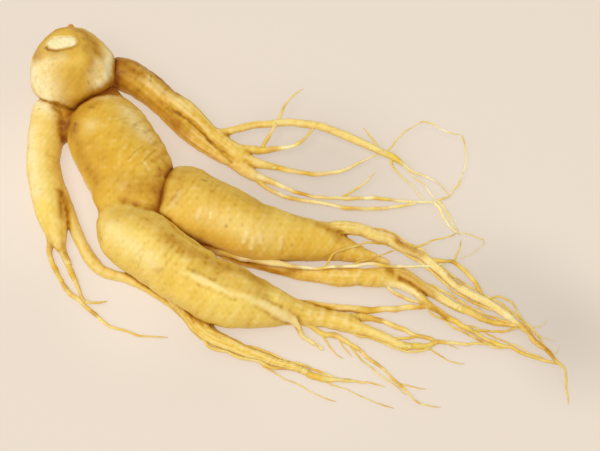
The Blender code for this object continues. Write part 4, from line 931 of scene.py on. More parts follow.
def mark_fields(points: Array, lines: Iterable[SkinMark]) -> tuple[dict[StainAndPaintedLight, Array], Array]:
    """Spreads marks over points: a bell of the distance to each mark's line.

    Args:
        points: Rows of (x, y, z).
        lines: The marks, on the skin.

    Returns:
        The strength of each kind of mark at each point, and the relief of the marks there.
    """
    mark_tints = {mark_tint: np.zeros(len(points)) for mark_tint in StainAndPaintedLight}
    relief = np.zeros(len(points))
    for mark, line in lines:
        at = near_rows(points, line, MARK_REACH * mark.width)
        if not len(at):
            continue
        seen = np.exp(-squares_between(points[at], line).min(axis=1) / mark.width**2)
        mark_tint = mark_tints[mark.mark_tint]
        mark_tint[at] = mark_tint[at] + mark.strength * seen * (1 - mark_tint[at])
        relief[at] += mark.relief * seen
    return mark_tints, relief


def set_values(mesh: bpy.types.Mesh, name: str, values: Array) -> None:
    """Stores one number for each vertex as a named attribute."""
    layer = mesh.attributes.new(name, "FLOAT", "POINT")
    layer.data.foreach_set("value", np.ascontiguousarray(values, np.float32))


def tube_points(spine: Spine, sides: int, width: Array | float = 1.0, height: float = 1.0) -> Array:
    """Sweeps a section: centre + half width × width × (cos × side + sin × height × up).

    Args:
        spine: The middle line and its frames.
        sides: The number of points round the section.
        width: A share of the half width at each point, or one for all.
        height: The section's height as a share of its width.

    Returns:
        A grid of points, rings × sides × 3.
    """
    turn = turns(sides)
    reach = spine.half[:, None] * width
    across = (reach * np.cos(turn))[:, :, None] * spine.side[:, None, :]
    rise = (reach * np.sin(turn) * height)[:, :, None] * spine.up[:, None, :]
    return spine.centre[:, None, :] + across + rise


def tube_faces(rings: int, sides: int, first: int) -> list[tuple[int, ...]]:
    """Gives the quads between rings and the two end faces, pointing out.

    Args:
        rings: The number of rings.
        sides: The number of points on each.
        first: The number of the tube's first point.

    Returns:
        The corners of each face.
    """
    i, j = np.meshgrid(np.arange(rings - 1), np.arange(sides), indexing="ij")
    k = (j + 1) % sides
    quads = np.stack([i * sides + j, (i + 1) * sides + j, (i + 1) * sides + k, i * sides + k], -1)
    faces = [tuple(row) for row in (quads.reshape(-1, 4) + first).tolist()]
    last = (rings - 1) * sides + first
    return faces + [tuple(range(first, first + sides)), tuple(range(last + sides - 1, last - 1, -1))]


def tube_mesh(name: str, grids: Iterable[Array]) -> bpy.types.Mesh:
    """Makes one mesh of closed tubes.

    Args:
        name: The mesh's name.
        grids: Each tube's grid of points in millimetres.

    Returns:
        The mesh, in metres.
    """
    points, faces, count = [], [], 0
    for grid in grids:
        rings, sides, _ = grid.shape
        faces += tube_faces(rings, sides, count)
        points.append(grid.reshape(-1, 3))
        count += rings * sides
    mesh = bpy.data.meshes.new(name)
    mesh.from_pydata((np.concatenate(points) * MM).tolist(), [], faces)
    return mesh


def placed(name: str, data: bpy.types.ID) -> bpy.types.Object:
    """Makes an object of a mesh, lamp or camera at the origin and puts it in the scene."""
    made = bpy.data.objects.new(name, data)
    bpy.context.scene.collection.objects.link(made)
    return made


# The rough tubes that a skin starts from: their step, the sides of thin and thick ones, and the
# half width at which they are thick
ROUGH_STEP = 1.2
ROUGH_SIDES = (14, 24)
ROUGH_THICK = 4

# The skin's fine unevenness: share, wavelengths and seed
FINE_WAVES = ((0.10, (7.5, 4.6), 11), (0.035, (2.6, 2.0), 12))

# The most that a point slides at a time, the least steepness that it reckons with, how often marks
# and a new skin slide, and how often and how far a skin is evened
SLIDE_MOST = 1.6
STEEP_LEAST = 0.05
MARK_SLIDES = 4
FIRST_SLIDES = 3
EVENINGS = 2
EVEN_SHARE = 0.5


@dataclass
class GrownSkin:
    """One closed skin over forms that grew together, with folds where it meets other forms."""

    name: str
    forms: list[AnyForm]
    neighbours: list[AnyForm]
    voxel: float = 0.6

    def start(self) -> tuple[Array, Array, Array]:
        """Makes a first mesh near the skin: the forms' tubes, joined by a voxel remesh.

        Returns:
            The points, the corners of the faces and the pairs of points that share an edge.
        """
        grids = []
        for form in self.forms:
            spine = Spine.along(form.route, ROUGH_STEP)
            sides = ROUGH_SIDES[spine.half.max() > ROUGH_THICK]
            grids.append(tube_points(spine, sides, height=form.height))
        rough = placed(self.name + " rough", tube_mesh(self.name, grids))
        remesh = rough.modifiers.new("remesh", "REMESH")
        remesh.mode = "VOXEL"
        remesh.voxel_size = self.voxel * MM
        graph = bpy.context.evaluated_depsgraph_get()
        done = bpy.data.meshes.new_from_object(rough.evaluated_get(graph))
        bpy.data.objects.remove(rough)
        return mesh_arrays(done)

    def united(self, points: Array) -> tuple[Skin, Array]:
        """Measures points from all forms together.

        The distance is the smooth minimum of the forms' distances. Where two forms meet at an
        angle the fold is near one, and the values run from one form's to the other's. Near a
        neighbour the skin sinks by a bell of the gap, and the fold fades with the gap.

        Args:
            points: Rows of (x, y, z).

        Returns:
            The skin, and how far each point lies in a fold, from 0 to 1, which is painted as shade.
        """
        distance = np.full(len(points), FAR)
        slope = np.zeros((len(points), 3))
        values = np.zeros((len(points), len(VALUE_NAMES)))
        fold = np.zeros(len(points))
        for form in self.forms:
            at = form.near(points)
            skin = form.read(points[at])
            reach = form.blend.reach_at(points[at])
            distance[at], share = soft_join(distance[at], skin.distance, reach, Join.SMALLER)
            facing = (slope[at] * skin.slope).sum(axis=1)
            # Where two forms meet at an angle the fold is painted shade
            new_fold = 4 * share * (1 - share) * held(FOLD_FACING - facing) * form.crease
            fold[at] = np.maximum(fold[at] * (1 - share), new_fold)
            mix = share[:, None]
            slope[at] = slope[at] * (1 - mix) + skin.slope * mix
            values[at] = values[at] * (1 - mix) + skin.values * mix
        gap = np.full(len(points), FAR)
        for form in self.neighbours:
            at = form.near(points)
            gap[at] = np.minimum(gap[at], form.read(points[at]).distance)
        gap = np.maximum(gap, 0)
        # Near a neighbour the fold's dark line and soft brown are painted shade
        fold = np.maximum(fold, np.exp(-((gap / FOLD_SHADE) ** FOLD_FALL)))
        fold = np.maximum(fold, HALO_MOST * bell(gap / HALO_WIDTH))
        distance += FOLD_DEPTH * bell(gap / FOLD_WIDTH)
        return Skin(distance, slope, values), fold

    def place_marks(self) -> list[SkinMark]:
        """Moves every mark near this skin onto it; those that would move far belong elsewhere.

        Returns:
            The marks on this skin.
        """
        on_skin = []
        for mark, line in mark_lines(MARKS):
            moved = self.settle(line, MARK_SLIDES)
            close = np.linalg.norm(moved - line, axis=1) < MARK_PULL + 0.5 * mark.width
            if close.any():
                on_skin.append(SkinMark(mark, moved[close]))
        return on_skin

    def settle(self, points: Array, steps: int, lines: Iterable[SkinMark] = ()) -> Array:
        """Slides points down the slope of the distance until they lie on the skin.

        Args:
            points: Rows of (x, y, z) near the skin.
            steps: How often the slide is repeated.
            lines: The marks whose relief the skin has.

        Returns:
            The points, moved.
        """
        for _ in range(steps):
            skin, _ = self.united(points)
            _, relief = mark_fields(points, lines)
            fine = sum(share * waves(points, lengths, seed) for share, lengths, seed in FINE_WAVES)
            short = np.clip(skin.distance - relief - fine, -SLIDE_MOST, SLIDE_MOST)
            steep = np.maximum((skin.slope**2).sum(axis=1), STEEP_LEAST)
            points = points - (short / steep)[:, None] * skin.slope
        return points

    def build(self) -> bpy.types.Object:
        """Makes the skin's mesh, settles it, evens its points and stores its values.

        Returns:
            The piece.
        """
        points, corners, edges = self.start()
        lines = self.place_marks()
        points = self.settle(points, FIRST_SLIDES)
        for _ in range(EVENINGS):
            points = relaxed(points, edges, EVEN_SHARE)
            points = self.settle(points, 1, lines)
        points = self.settle(points, 1, lines)
        points[:, 2] = np.maximum(points[:, 2], 0.0)
        skin, fold = self.united(points)
        piece = quad_object(self.name, points, corners)
        finish_values(piece.data, points, skin.values, fold, lines)
        # The materials paint shade in the hollows and highlights on the ridges from this
        set_values(piece.data, "hollow", hollowness(points, edges, unit(skin.slope)))
        return piece


def mesh_arrays(mesh: bpy.types.Mesh) -> tuple[Array, Array, Array]:
    """Reads a mesh of quads, and removes it.

    Args:
        mesh: The mesh, in metres.

    Returns:
        Its points in millimetres, the corners of its faces and its edges.
    """
    points = np.empty(len(mesh.vertices) * 3)
    mesh.vertices.foreach_get("co", points)
    corners = np.empty(len(mesh.loops), np.int32)
    mesh.loops.foreach_get("vertex_index", corners)
    edges = np.empty(len(mesh.edges) * 2, np.int32)
    mesh.edges.foreach_get("vertices", edges)
    bpy.data.meshes.remove(mesh)
    return points.reshape(-1, 3) / MM, corners.reshape(-1, 4), edges.reshape(-1, 2)


def relaxed(points: Array, edges: Array, share: float) -> Array:
    """Moves each point a share of the way to the mean of its neighbours.

    Args:
        points: Rows of numbers, one for each point.
        edges: The pairs of points that share an edge.
        share: The share of the way, from 0 to 1.

    Returns:
        The rows, moved.
    """
    count = np.bincount(edges.ravel(), minlength=len(points))
    total = np.zeros_like(points)
    for k in range(points.shape[1]):
        total[:, k] = np.bincount(edges[:, 0], points[edges[:, 1], k], len(points))
        total[:, k] += np.bincount(edges[:, 1], points[edges[:, 0], k], len(points))
    return points + share * (total / np.maximum(count, 1)[:, None] - points)


def hollowness(points: Array, edges: Array, normals: Array) -> Array:
    """Gives how hollow the skin is at each point, from -1 on ridges to 1 in grooves.

    It is the height of the neighbours' mean over the point, evened over the neighbours.

    Args:
        points: Rows of (x, y, z).
        edges: The pairs of points that share an edge.
        normals: The direction out of the skin at each point.

    Returns:
        One value for each point.
    """
    height = ((relaxed(points, edges, 1.0) - points) * normals).sum(axis=1)
    for _ in range(EVENINGS):
        height = relaxed(height[:, None], edges, EVEN_SHARE)[:, 0]
    return np.clip((height + HOLLOW_REST) / HOLLOW_FULL, -1, 1)


def quad_object(name: str, points: Array, corners: Array) -> bpy.types.Object:
    """Makes a smooth-shaded object at the origin.

    Args:
        name: The object's name.
        points: Rows of (x, y, z) in millimetres.
        corners: The four corners of each face.

    Returns:
        The object.
    """
    mesh = bpy.data.meshes.new(name)
    mesh.vertices.add(len(points))
    mesh.vertices.foreach_set("co", (points * MM).astype(np.float32).ravel())
    mesh.loops.add(corners.size)
    mesh.loops.foreach_set("vertex_index", corners.ravel())
    mesh.polygons.add(len(corners))
    mesh.polygons.foreach_set("loop_start", np.arange(0, corners.size, 4, dtype=np.int32))
    mesh.update(calc_edges=True)
    mesh.validate()
    mesh.shade_smooth()
    return placed(name, mesh)


# How much of a form's own brown a pale mark covers
PALE_COVER = 0.8


def finish_values(
    mesh: bpy.types.Mesh, points: Array, values: Array, fold: Array, lines: list[SkinMark]
) -> None:
    """Stores what the skin's materials read: tints, stains with painted shade and highlights, folds painted
    as shade, and directions.

    Args:
        mesh: The mesh that they are stored on.
        points: Its points in millimetres.
        values: Rows of the values in VALUE_NAMES.
        fold: How far each point lies in a fold.
        lines: The marks, on the skin.
    """
    mark_tints, _ = mark_fields(points, lines)
    named = dict(zip(VALUE_NAMES, values.T))
    named["pale"] = np.maximum(named["pale"], mark_tints[StainAndPaintedLight.PALE])
    uncovered = 1 - PALE_COVER * mark_tints[StainAndPaintedLight.PALE]
    named["brown"] = np.maximum(named["brown"] * uncovered, mark_tints[StainAndPaintedLight.BROWN])
    named["dark"] = mark_tints[StainAndPaintedLight.DARK]
    named["fold"] = fold
    for name, value in named.items():
        set_values(mesh, name, value)


# How much the solids fatten the thinnest rootlets, the half width below which they do, and the
# range over which it grows to the full amount
FATTENING = 0.2
FATTENED_BELOW = 1.3
FATTENED_RANGE = 0.7

# The step along a tube, the sides of thin and thick ones, and the half width of a thick one
TUBE_STEP = 0.8
TUBE_SIDES = (8, 12)
TUBE_THICK = 1.0

# The length over which a tube's ends narrow, and the least height of its points over the floor
END_LENGTH = 3.0
FLOOR_LEAST = 0.02

# A slow wave's three sines: their lengths as shares, the range drawn for each, and their sum's size
WANDER_SHARES = (1.0, 0.61, 0.37)
WANDER_STRETCH = (1.2, 2.2)
WANDER_SIZE = 1.9


def wander(run: Array, length: float, draw: np.random.Generator) -> Array:
    """Gives a slow seeded wave of the run, from about -1 to 1: three sines of unlike lengths.

    Args:
        run: The way along, at each row.
        length: The length that the sines share.
        draw: The generator of their lengths and phases.

    Returns:
        One value for each row.
    """
    total = np.zeros(len(run))
    for share in WANDER_SHARES:
        wave = length * share * draw.uniform(*WANDER_STRETCH)
        total += np.sin(math.tau * run / wave + draw.uniform(0, math.tau))
    return total / WANDER_SIZE


def wandering(
    run: Array, terms: Iterable[tuple[float, float]], draw: np.random.Generator, rest: float = 0.0
) -> Array:
    """Adds up slow waves of the run.

    Args:
        run: The way along, at each row.
        terms: The share and length of each wave.
        draw: The generator of the waves.
        rest: What they are added to.

    Returns:
        One value for each row.
    """
    total = rest
    for share, length in terms:
        total = total + share * wander(run, length, draw)
    return total


@dataclass
class RootletSpray:
    """A group of rootlets swept as tubes, with knots, bends and ridges drawn from a seed.

    Attributes:
        name: The piece's name.
        routes: The rootlets, of which only the loose stretches are swept.
        seed: The seed of all that is drawn.
        tan: How tan the skin is.
        pale: How pale its pale stretches are.
        thin: The fattening of the solids that is taken off again.
        bends: The share of the sideways bends.
        tip_brown: How brown the tips are.
        brown_most: The most that a brown stretch reaches.
    """

    name: str
    routes: tuple[Route, ...]
    seed: int
    tan: float = 0.45
    pale: float = 0.5
    thin: float = FATTENING
    bends: float = 1.0
    tip_brown: float = 0.4
    brown_most: float = 0.5

    # The share and length of the waves of thickness, of the bends and of the rise
    KNOTS = ((0.07, 9.0), (0.04, 3.2))
    SWAY = ((0.26, 14.0), (0.09, 5.0))
    LIFT = ((0.10, 9.0),)
    # Each set of lengthwise ridges: how many, twist and share
    RIDGES = ((2, 6, 0.08), (3, -4, 0.05))
    # The lengths of the waves of tan, pale, brown and wrinkled stretches
    TAN_WAVE = 13.0
    PALE_WAVE = 17.0
    BROWN_WAVE = 15.0
    WRINKLE_WAVE = 3.4

    def spine_of(self, route: Route, draw: np.random.Generator) -> Spine:
        """Reads a rootlet's spine with its true thickness, small bends and a fine tip.

        The solids fatten the thinnest rootlets, by up to the fattening at half widths under
        0.6 mm, and this takes it off again.

        Args:
            route: The rootlet's rows.
            draw: The generator of its waves.

        Returns:
            The spine of its tube.
        """
        spine = Spine.along(route, TUBE_STEP)
        run = spine.run
        true = spine.half - self.thin * held((FATTENED_BELOW - spine.half) / FATTENED_RANGE)
        true = true * (1 - 0.2 * held(2.0 - true))
        knots = wandering(run, self.KNOTS, draw, 1)
        from_start, to_tip = held(run / END_LENGTH), held((run[-1] - run) / END_LENGTH)
        half = true * knots * (0.9 + 0.1 * from_start) * (0.3 + 0.7 * to_tip**0.6)
        middle = from_start * to_tip
        sway = self.bends * middle * wandering(run, self.SWAY, draw)
        lift = middle * wandering(run, self.LIFT, draw)
        centre = spine.centre + sway[:, None] * spine.side
        centre = centre + lift[:, None] * spine.up
        centre[:, 2] = np.maximum(centre[:, 2], half * 0.98)
        return Spine(centre, half, run, *frames(centre))

    def build(self) -> bpy.types.Object:
        """Sweeps every rootlet into one mesh and stores the values of its skin.

        Returns:
            The piece.
        """
        draw = np.random.default_rng(self.seed)
        grids, values = [], []
        for route in self.routes:
            spine = self.spine_of(loose_stretch(route), draw)
            sides = TUBE_SIDES[spine.half.max() > TUBE_THICK]
            grid = self.ridged(spine, sides, draw)
            grid[:, :, 2] = np.maximum(grid[:, :, 2], FLOOR_LEAST)
            grids.append(grid)
            values.append(self.values_of(spine, sides, draw))
        mesh = tube_mesh(self.name, grids)
        mesh.shade_smooth()
        piece = placed(self.name, mesh)
        cloud = np.concatenate([grid.reshape(-1, 3) for grid in grids])
        finish_values(mesh, cloud, np.concatenate(values), np.zeros(len(cloud)), mark_lines(MARKS))
        return piece

    def ridged(self, spine: Spine, sides: int, draw: np.random.Generator) -> Array:
        """Sweeps a section whose width has two to three lengthwise ridges that twist slowly.

        Args:
            spine: The tube's spine.
            sides: The number of points round it.
            draw: The generator of the ridges' phases.

        Returns:
            A grid of points, rings × sides × 3.
        """
        width = 1
        for ridges, twist, share in self.RIDGES:
            turn = ridges * turns(sides)[None, :] + spine.run[:, None] / twist
            width = width + share * np.sin(turn + draw.uniform(0, 6))
        return tube_points(spine, sides, width)

    def values_of(self, spine: Spine, sides: int, draw: np.random.Generator) -> Array:
        """Gives the skin's values round each ring: tan, pale and brown stretches along the run.

        Each is a slow wave that grows from the start, with a streak down one side.

        Args:
            spine: The tube's spine.
            sides: The number of points round it.
            draw: The generator of the stretches.

        Returns:
            Rows of the values in VALUE_NAMES.
        """
        run = spine.run
        grown = held((run - 1.5) / 9.0)
        thin = held((1.6 - spine.half) / 1.2)
        tone = self.tan + 0.35 * grown * wander(run, self.TAN_WAVE, draw)
        pale = held(0.3 + 0.4 * thin + 0.5 * wander(run, self.PALE_WAVE, draw)) * self.pale * grown
        brown = np.clip(wander(run, self.BROWN_WAVE, draw) * 0.8 - 0.3, 0, self.brown_most) * grown
        brown = np.maximum(brown, self.tip_brown * held(1 - (run[-1] - run) / 9.0))
        turn = turns(sides)[None, :]
        streak = 0.5 + 0.5 * np.sin(turn + 0.15 * run[:, None] + draw.uniform(0, 6))
        wrinkled = np.clip(wander(run, self.WRINKLE_WAVE, draw) - 0.7, 0, 0.6)
        columns = (
            tone[:, None] + 0.2 * streak,
            pale[:, None] * (0.6 + 0.4 * streak),
            wrinkled[:, None],
            run[:, None],
            turn * spine.half[:, None],
            brown[:, None] * (0.35 + 0.65 * streak) + 0.16 * (1 - streak),
        )
        grid = np.stack([np.broadcast_to(column, streak.shape) for column in columns], axis=-1)
        return grid.reshape(-1, len(VALUE_NAMES))


@dataclass(frozen=True)
class RootFinish:
    """The colours and gloss of the root's skin: linear red, green and blue, and millimetres."""

    cream: Rgb = (0.89, 0.67, 0.155)
    tan: Rgb = (0.73, 0.43, 0.040)
    # Ochre and brown colour the real stains and also the painted shade; pale colours the pale patches and
    # also the painted highlights
    ochre: Rgb = (0.52, 0.25, 0.014)
    brown: Rgb = (0.30, 0.085, 0.006)
    dark: Rgb = (0.20, 0.075, 0.012)
    pale: Rgb = (0.98, 0.87, 0.50)
    roughness: tuple[float, float] = (0.39, 0.55)
    roughness_size: float = 5.0
    specular_tint: Rgb = (1.0, 0.84, 0.45)
    ior: float = 1.42
    subsurface: float = 0.22
    subsurface_radius: Rgb = (1.0, 0.45, 0.12)
    subsurface_scale: float = 3.0
    bump: float = 0.1
    bump_distance: float = 0.25


Source = Union[Socket, float, tuple]


class Graph:
    """A small helper that places nodes in a tree and links them."""

    def __init__(self, tree: bpy.types.NodeTree) -> None:
        """Keeps the tree."""
        self.tree = tree

    def node(self, kind: str, **settings: object) -> bpy.types.Node:
        """Places a node and sets its properties."""
        made = self.tree.nodes.new(kind)
        for name, value in settings.items():
            setattr(made, name, value)
        return made

    def link(self, source: Source, target: Socket) -> None:
        """Links a socket to a socket, or sets a number or colour on it."""
        if isinstance(source, Socket):
            self.tree.links.new(source, target)
        else:
            target.default_value = source

    def wire(self, node: bpy.types.Node, sources: dict[Union[str, int], Source]) -> None:
        """Links or sets the inputs of a node, by their names or numbers."""
        for key, source in sources.items():
            self.link(source, node.inputs[key])

    def close(self, name: str, source: Source) -> bpy.types.NodeTree:
        """Sends a value out of a node group and gives the finished group."""
        self.wire(self.node("NodeGroupOutput"), {name: source})
        return self.tree

    def attribute(self, name: str) -> Socket:
        """Reads one stored value."""
        return self.node("ShaderNodeAttribute", attribute_name=name).outputs["Fac"]

    def mix(self, share: Source, first: Source, second: Source) -> Socket:
        """Mixes two colours by a share."""
        made = self.node("ShaderNodeMix", data_type="RGBA")
        self.wire(made, {0: share, 6: first, 7: second})
        return made.outputs[2]

    def math(self, operation: str, first: Source, second: Source) -> Socket:
        """Works out an operation on two values, and doesn't hold what comes out."""
        made = self.node("ShaderNodeMath", operation=operation)
        self.wire(made, {0: first, 1: second})
        return made.outputs[0]

    def plus(self, base: Source, value: Source, share: Source) -> Socket:
        """Adds a share of a value to a base."""
        return self.math("ADD", base, self.math("MULTIPLY", value, share))

    def centred(self, noise: Source) -> Socket:
        """Takes a half off noise, so that it runs both ways from zero."""
        return self.math("SUBTRACT", noise, 0.5)

    def band(
        self, value: Source, low: float, high: float, start: float = 0.0, end: float = 1.0, **settings: str
    ) -> Socket:
        """Maps a value from low..high to start..end, held at both ends."""
        made = self.node("ShaderNodeMapRange", **settings)
        self.wire(made, {0: value, 1: low, 2: high, 3: start, 4: end})
        return made.outputs[0]

    def noise(self, vector: Source, size: float, detail: float) -> Socket:
        """Reads noise whose blotches are about size millimetres across."""
        made = self.node("ShaderNodeTexNoise")
        self.wire(made, {"Vector": vector, "Scale": 1.0 / (size * MM), "Detail": detail})
        return made.outputs["Fac"]


def colour(rgb: Rgb) -> tuple[float, float, float, float]:
    """Adds the alpha that a colour socket wants."""
    return (*rgb, 1.0)


def new_group(
    name: str, inputs: Iterable[str], outputs: Iterable[str]
) -> tuple[Graph, bpy.types.NodeInputs]:
    """Starts a node group with named sockets; names with Colour are colours.

    Args:
        name: The group's name.
        inputs: The names of what comes in.
        outputs: The names of what goes out.

    Returns:
        The group's graph, and the sockets that bring its inputs.
    """
    tree = bpy.data.node_groups.new(name, "ShaderNodeTree")
    for direction, names in (("INPUT", inputs), ("OUTPUT", outputs)):
        for socket in names:
            kind = "NodeSocketFloat"
            if "Colour" in socket:
                kind = "NodeSocketColor"
            elif socket == "Vector":
                kind = "NodeSocketVector"
            tree.interface.new_socket(socket, in_out=direction, socket_type=kind)
    graph = Graph(tree)
    return graph, graph.node("NodeGroupInput").outputs


def new_material(name: str) -> tuple[bpy.types.Material, Graph, bpy.types.Node]:
    """Starts a material, and gives it with its graph and its shader."""
    material = bpy.data.materials.new(name)
    material.use_nodes = True
    return material, Graph(material.node_tree), material.node_tree.nodes["Principled BSDF"]


TINTS = ("cream", "tan", "ochre", "brown", "dark", "pale")
PIGMENT_VALUES = ("tan", "pale", "brown", "dark", "fold", "ring", "hollow")


@dataclass(frozen=True)
class Mottling:
    """How the skin's tints break up, with painted shade in folds, ring grooves and grooves and painted
    highlights on ridges: sizes in millimetres, shares, and bands of low and high.
    """

    broad_size: float = 15.0
    broad_share: float = 1.1
    fine_size: float = 3.2
    fine_share: float = 0.3
    ring_share: float = 0.45
    pale_band: tuple[float, float] = (0.12, 0.5)
    ridge_highlight_band: tuple[float, float] = (0.1, 1.4)
    ridge_highlight_share: float = 0.5
    fold_shade_share: float = 0.7
    groove_shade_band: tuple[float, float] = (0.1, 1.0)
    groove_shade_share: float = 0.4
    edge_share: float = 1.2
    ochre_band: tuple[float, float] = (0.03, 0.75)
    brown_band: tuple[float, float] = (0.7, 1.35)
    fleck_spacing: float = 4.2
    fleck_band: tuple[float, float] = (0.08, 0.02)
    fleck_patch: tuple[float, float] = (0.56, 0.66)
    fleck_share: float = 0.25
    broken_band: tuple[float, float] = (0.3, 0.55)

    def build(self) -> bpy.types.NodeTree:
        """Builds the group that colours the skin from its tints, stains, painted shade and highlights, and
        mottling.

        Returns:
            The node group.
        """
        tints = [f"{tint.capitalize()} Colour" for tint in TINTS]
        inputs = ("Vector", *tints, *(value.capitalize() for value in PIGMENT_VALUES))
        g, sockets = new_group("root pigment", inputs, ("Colour",))
        broad = g.noise(sockets["Vector"], self.broad_size, 2.0)
        fine = g.noise(sockets["Vector"], self.fine_size, 4.0)
        mottled = g.plus(sockets["Tan"], g.centred(broad), self.broad_share)
        mottled = g.plus(mottled, g.centred(fine), self.fine_share)
        # Tan in the ring value: painted shade in the forms' ring grooves, and the rootlets' wrinkled
        # stretches
        mottled = g.plus(mottled, sockets["Ring"], self.ring_share)
        shade = g.mix(g.band(mottled, 0.0, 1.0), sockets["Cream Colour"], sockets["Tan Colour"])
        pale = g.math("MULTIPLY", sockets["Pale"], g.band(fine, *self.pale_band))
        shade = g.mix(g.band(pale, 0.0, 1.0), shade, sockets["Pale Colour"])
        # Painted highlight: paler on ridges, where the skin stands over its neighbours
        ridge_highlight = g.band(g.math("MULTIPLY", sockets["Hollow"], -1.0), *self.ridge_highlight_band)
        shade = g.mix(g.math("MULTIPLY", ridge_highlight, self.ridge_highlight_share), shade, sockets["Pale Colour"])
        # Real brown stains together with painted shade, darker in folds and grooves
        stain_and_shade = g.plus(sockets["Brown"], sockets["Fold"], self.fold_shade_share)
        stain_and_shade = g.plus(stain_and_shade, g.band(sockets["Hollow"], *self.groove_shade_band), self.groove_shade_share)
        rough_edge = g.math("MULTIPLY", g.centred(fine), self.edge_share)
        stain_and_shade = g.plus(stain_and_shade, rough_edge, stain_and_shade)
        shade = g.mix(g.band(stain_and_shade, *self.ochre_band), shade, sockets["Ochre Colour"])
        shade = g.mix(g.band(stain_and_shade, *self.brown_band), shade, sockets["Brown Colour"])
        flecks = g.node("ShaderNodeTexVoronoi", feature="F1")
        g.wire(flecks, {"Vector": sockets["Vector"], "Scale": 1.0 / (self.fleck_spacing * MM)})
        patch = g.band(broad, *self.fleck_patch)
        fleck = g.math("MULTIPLY", g.band(flecks.outputs["Distance"], *self.fleck_band), patch)
        broken = g.math("MULTIPLY", sockets["Dark"], g.band(fine, *self.broken_band))
        dark = g.math("MAXIMUM", broken, g.math("MULTIPLY", fleck, self.fleck_share))
        return g.close("Colour", g.mix(g.band(dark, 0.0, 1.0), shade, sockets["Dark Colour"]))


@dataclass(frozen=True)
class Wrinkles:
    """The skin's fine relief: lines across each form and a soft grain, in millimetres."""

    line_size: float = 1.1
    line_stretch: float = 0.22
    line_band: tuple[float, float] = (0.35, 0.65)
    line_share: float = 0.7
    grain_size: float = 0.9
    grain_share: float = 0.5

    def build(self) -> bpy.types.NodeTree:
        """Builds the group that gives the height of cross wrinkles and grain.

        Returns:
            The node group.
        """
        g, sockets = new_group("root wrinkles", ("Vector", "Along", "Around"), ("Height",))
        wrap = g.node("ShaderNodeCombineXYZ")
        g.wire(wrap, {
            0: g.math("MULTIPLY", sockets["Along"], MM),
            1: g.math("MULTIPLY", sockets["Around"], self.line_stretch * MM),
        })
        cross = g.noise(wrap.outputs[0], self.line_size, 3.0)
        grain = g.noise(sockets["Vector"], self.grain_size, 2.0)
        lines = g.math("MULTIPLY", g.band(cross, *self.line_band), self.line_share)
        return g.close("Height", g.plus(lines, grain, self.grain_share))


@dataclass
class SkinPainter:
    """Makes the skin's material from its finish and the two shared groups."""

    pigment: bpy.types.NodeTree
    wrinkles: bpy.types.NodeTree

    def material(self, name: str, finish: RootFinish) -> bpy.types.Material:
        """Makes a material that reads the attributes stored on every piece.

        Args:
            name: The material's name.
            finish: Its colours and gloss.

        Returns:
            The material.
        """
        material, g, shader = new_material(name)
        place = g.node("ShaderNodeTexCoord").outputs["Object"]
        paint = g.node("ShaderNodeGroup", node_tree=self.pigment)
        tints = {f"{tint.capitalize()} Colour": colour(getattr(finish, tint)) for tint in TINTS}
        values = {value.capitalize(): g.attribute(value) for value in PIGMENT_VALUES}
        g.wire(paint, {"Vector": place, **tints, **values})
        relief = g.node("ShaderNodeGroup", node_tree=self.wrinkles)
        along, around = g.attribute("along"), g.attribute("around")
        g.wire(relief, {"Vector": place, "Along": along, "Around": around})
        bump = g.node("ShaderNodeBump")
        g.wire(bump, {
            "Strength": finish.bump,
            "Distance": finish.bump_distance * MM,
            "Height": relief.outputs["Height"],
        })
        blotches = g.noise(place, finish.roughness_size, 2.0)
        g.wire(shader, {
            "Base Color": paint.outputs["Colour"],
            "Normal": bump.outputs["Normal"],
            "Roughness": g.band(blotches, 0.0, 1.0, *finish.roughness),
            "Specular Tint": colour(finish.specular_tint),
            "IOR": finish.ior,
            "Subsurface Weight": finish.subsurface,
            "Subsurface Radius": finish.subsurface_radius,
            "Subsurface Scale": finish.subsurface_scale * MM,
        })
        return material


# A root is thick, and part of a skin, down to this half width, and the skin's last stretch shrinks
# by this much inside the tube that takes over
THICK_LEAST = 1.45
HANDOVER = 0.85


def thick_rows(route: Route) -> int:
    """Counts the rows of a route before it first gets thin."""
    thin = np.flatnonzero(np.array(route)[:, 3] < THICK_LEAST)
    return int(thin[0]) if len(thin) else len(route)


def thick_stretches(routes: Iterable[Route]) -> list[Route]:
    """Cuts each route to its thick first stretch, tapered where the tube takes over.

    Args:
        routes: The routes, of which those that start thin are left out.

    Returns:
        The thick stretches.
    """
    kept = []
    for route in routes:
        count = thick_rows(route)
        if count > 1:
            *place, half = route[count - 1]
            kept.append(route[:count - 1] + ((*place, HANDOVER * half),))
    return kept


def loose_stretch(route: Route) -> Route:
    """Cuts a route to what the tube shows: from just inside the skin's last stretch to the tip."""
    return route[max(thick_rows(route) - 2, 0):]


def side_strand(route: Route, first: int, last: int, side: float, half: float) -> Route:
    """Lays a thin strand along a root: it leaves the root, runs beside it and joins it again.

    Each row is moved across the root by its half width × the side × twice the sine of its share
    of the way, held at one.

    Args:
        route: The root's rows.
        first: The row where the strand leaves.
        last: The row before which it ends.
        side: How far to the side it runs, in half widths of the root.
        half: The strand's own half width.

    Returns:
        The strand's rows.
    """
    rows = np.array(route[first:last], float)
    _, across, _ = frames(rows[:, :3])
    away = held(2 * np.sin(np.linspace(0, math.pi, len(rows))))
    rows[:, :3] += across * (side * away * (rows[:, 3] + 0.3 * half))[:, None]
    rows[:, 3] = half
    return tuple(map(tuple, rows.tolist()))


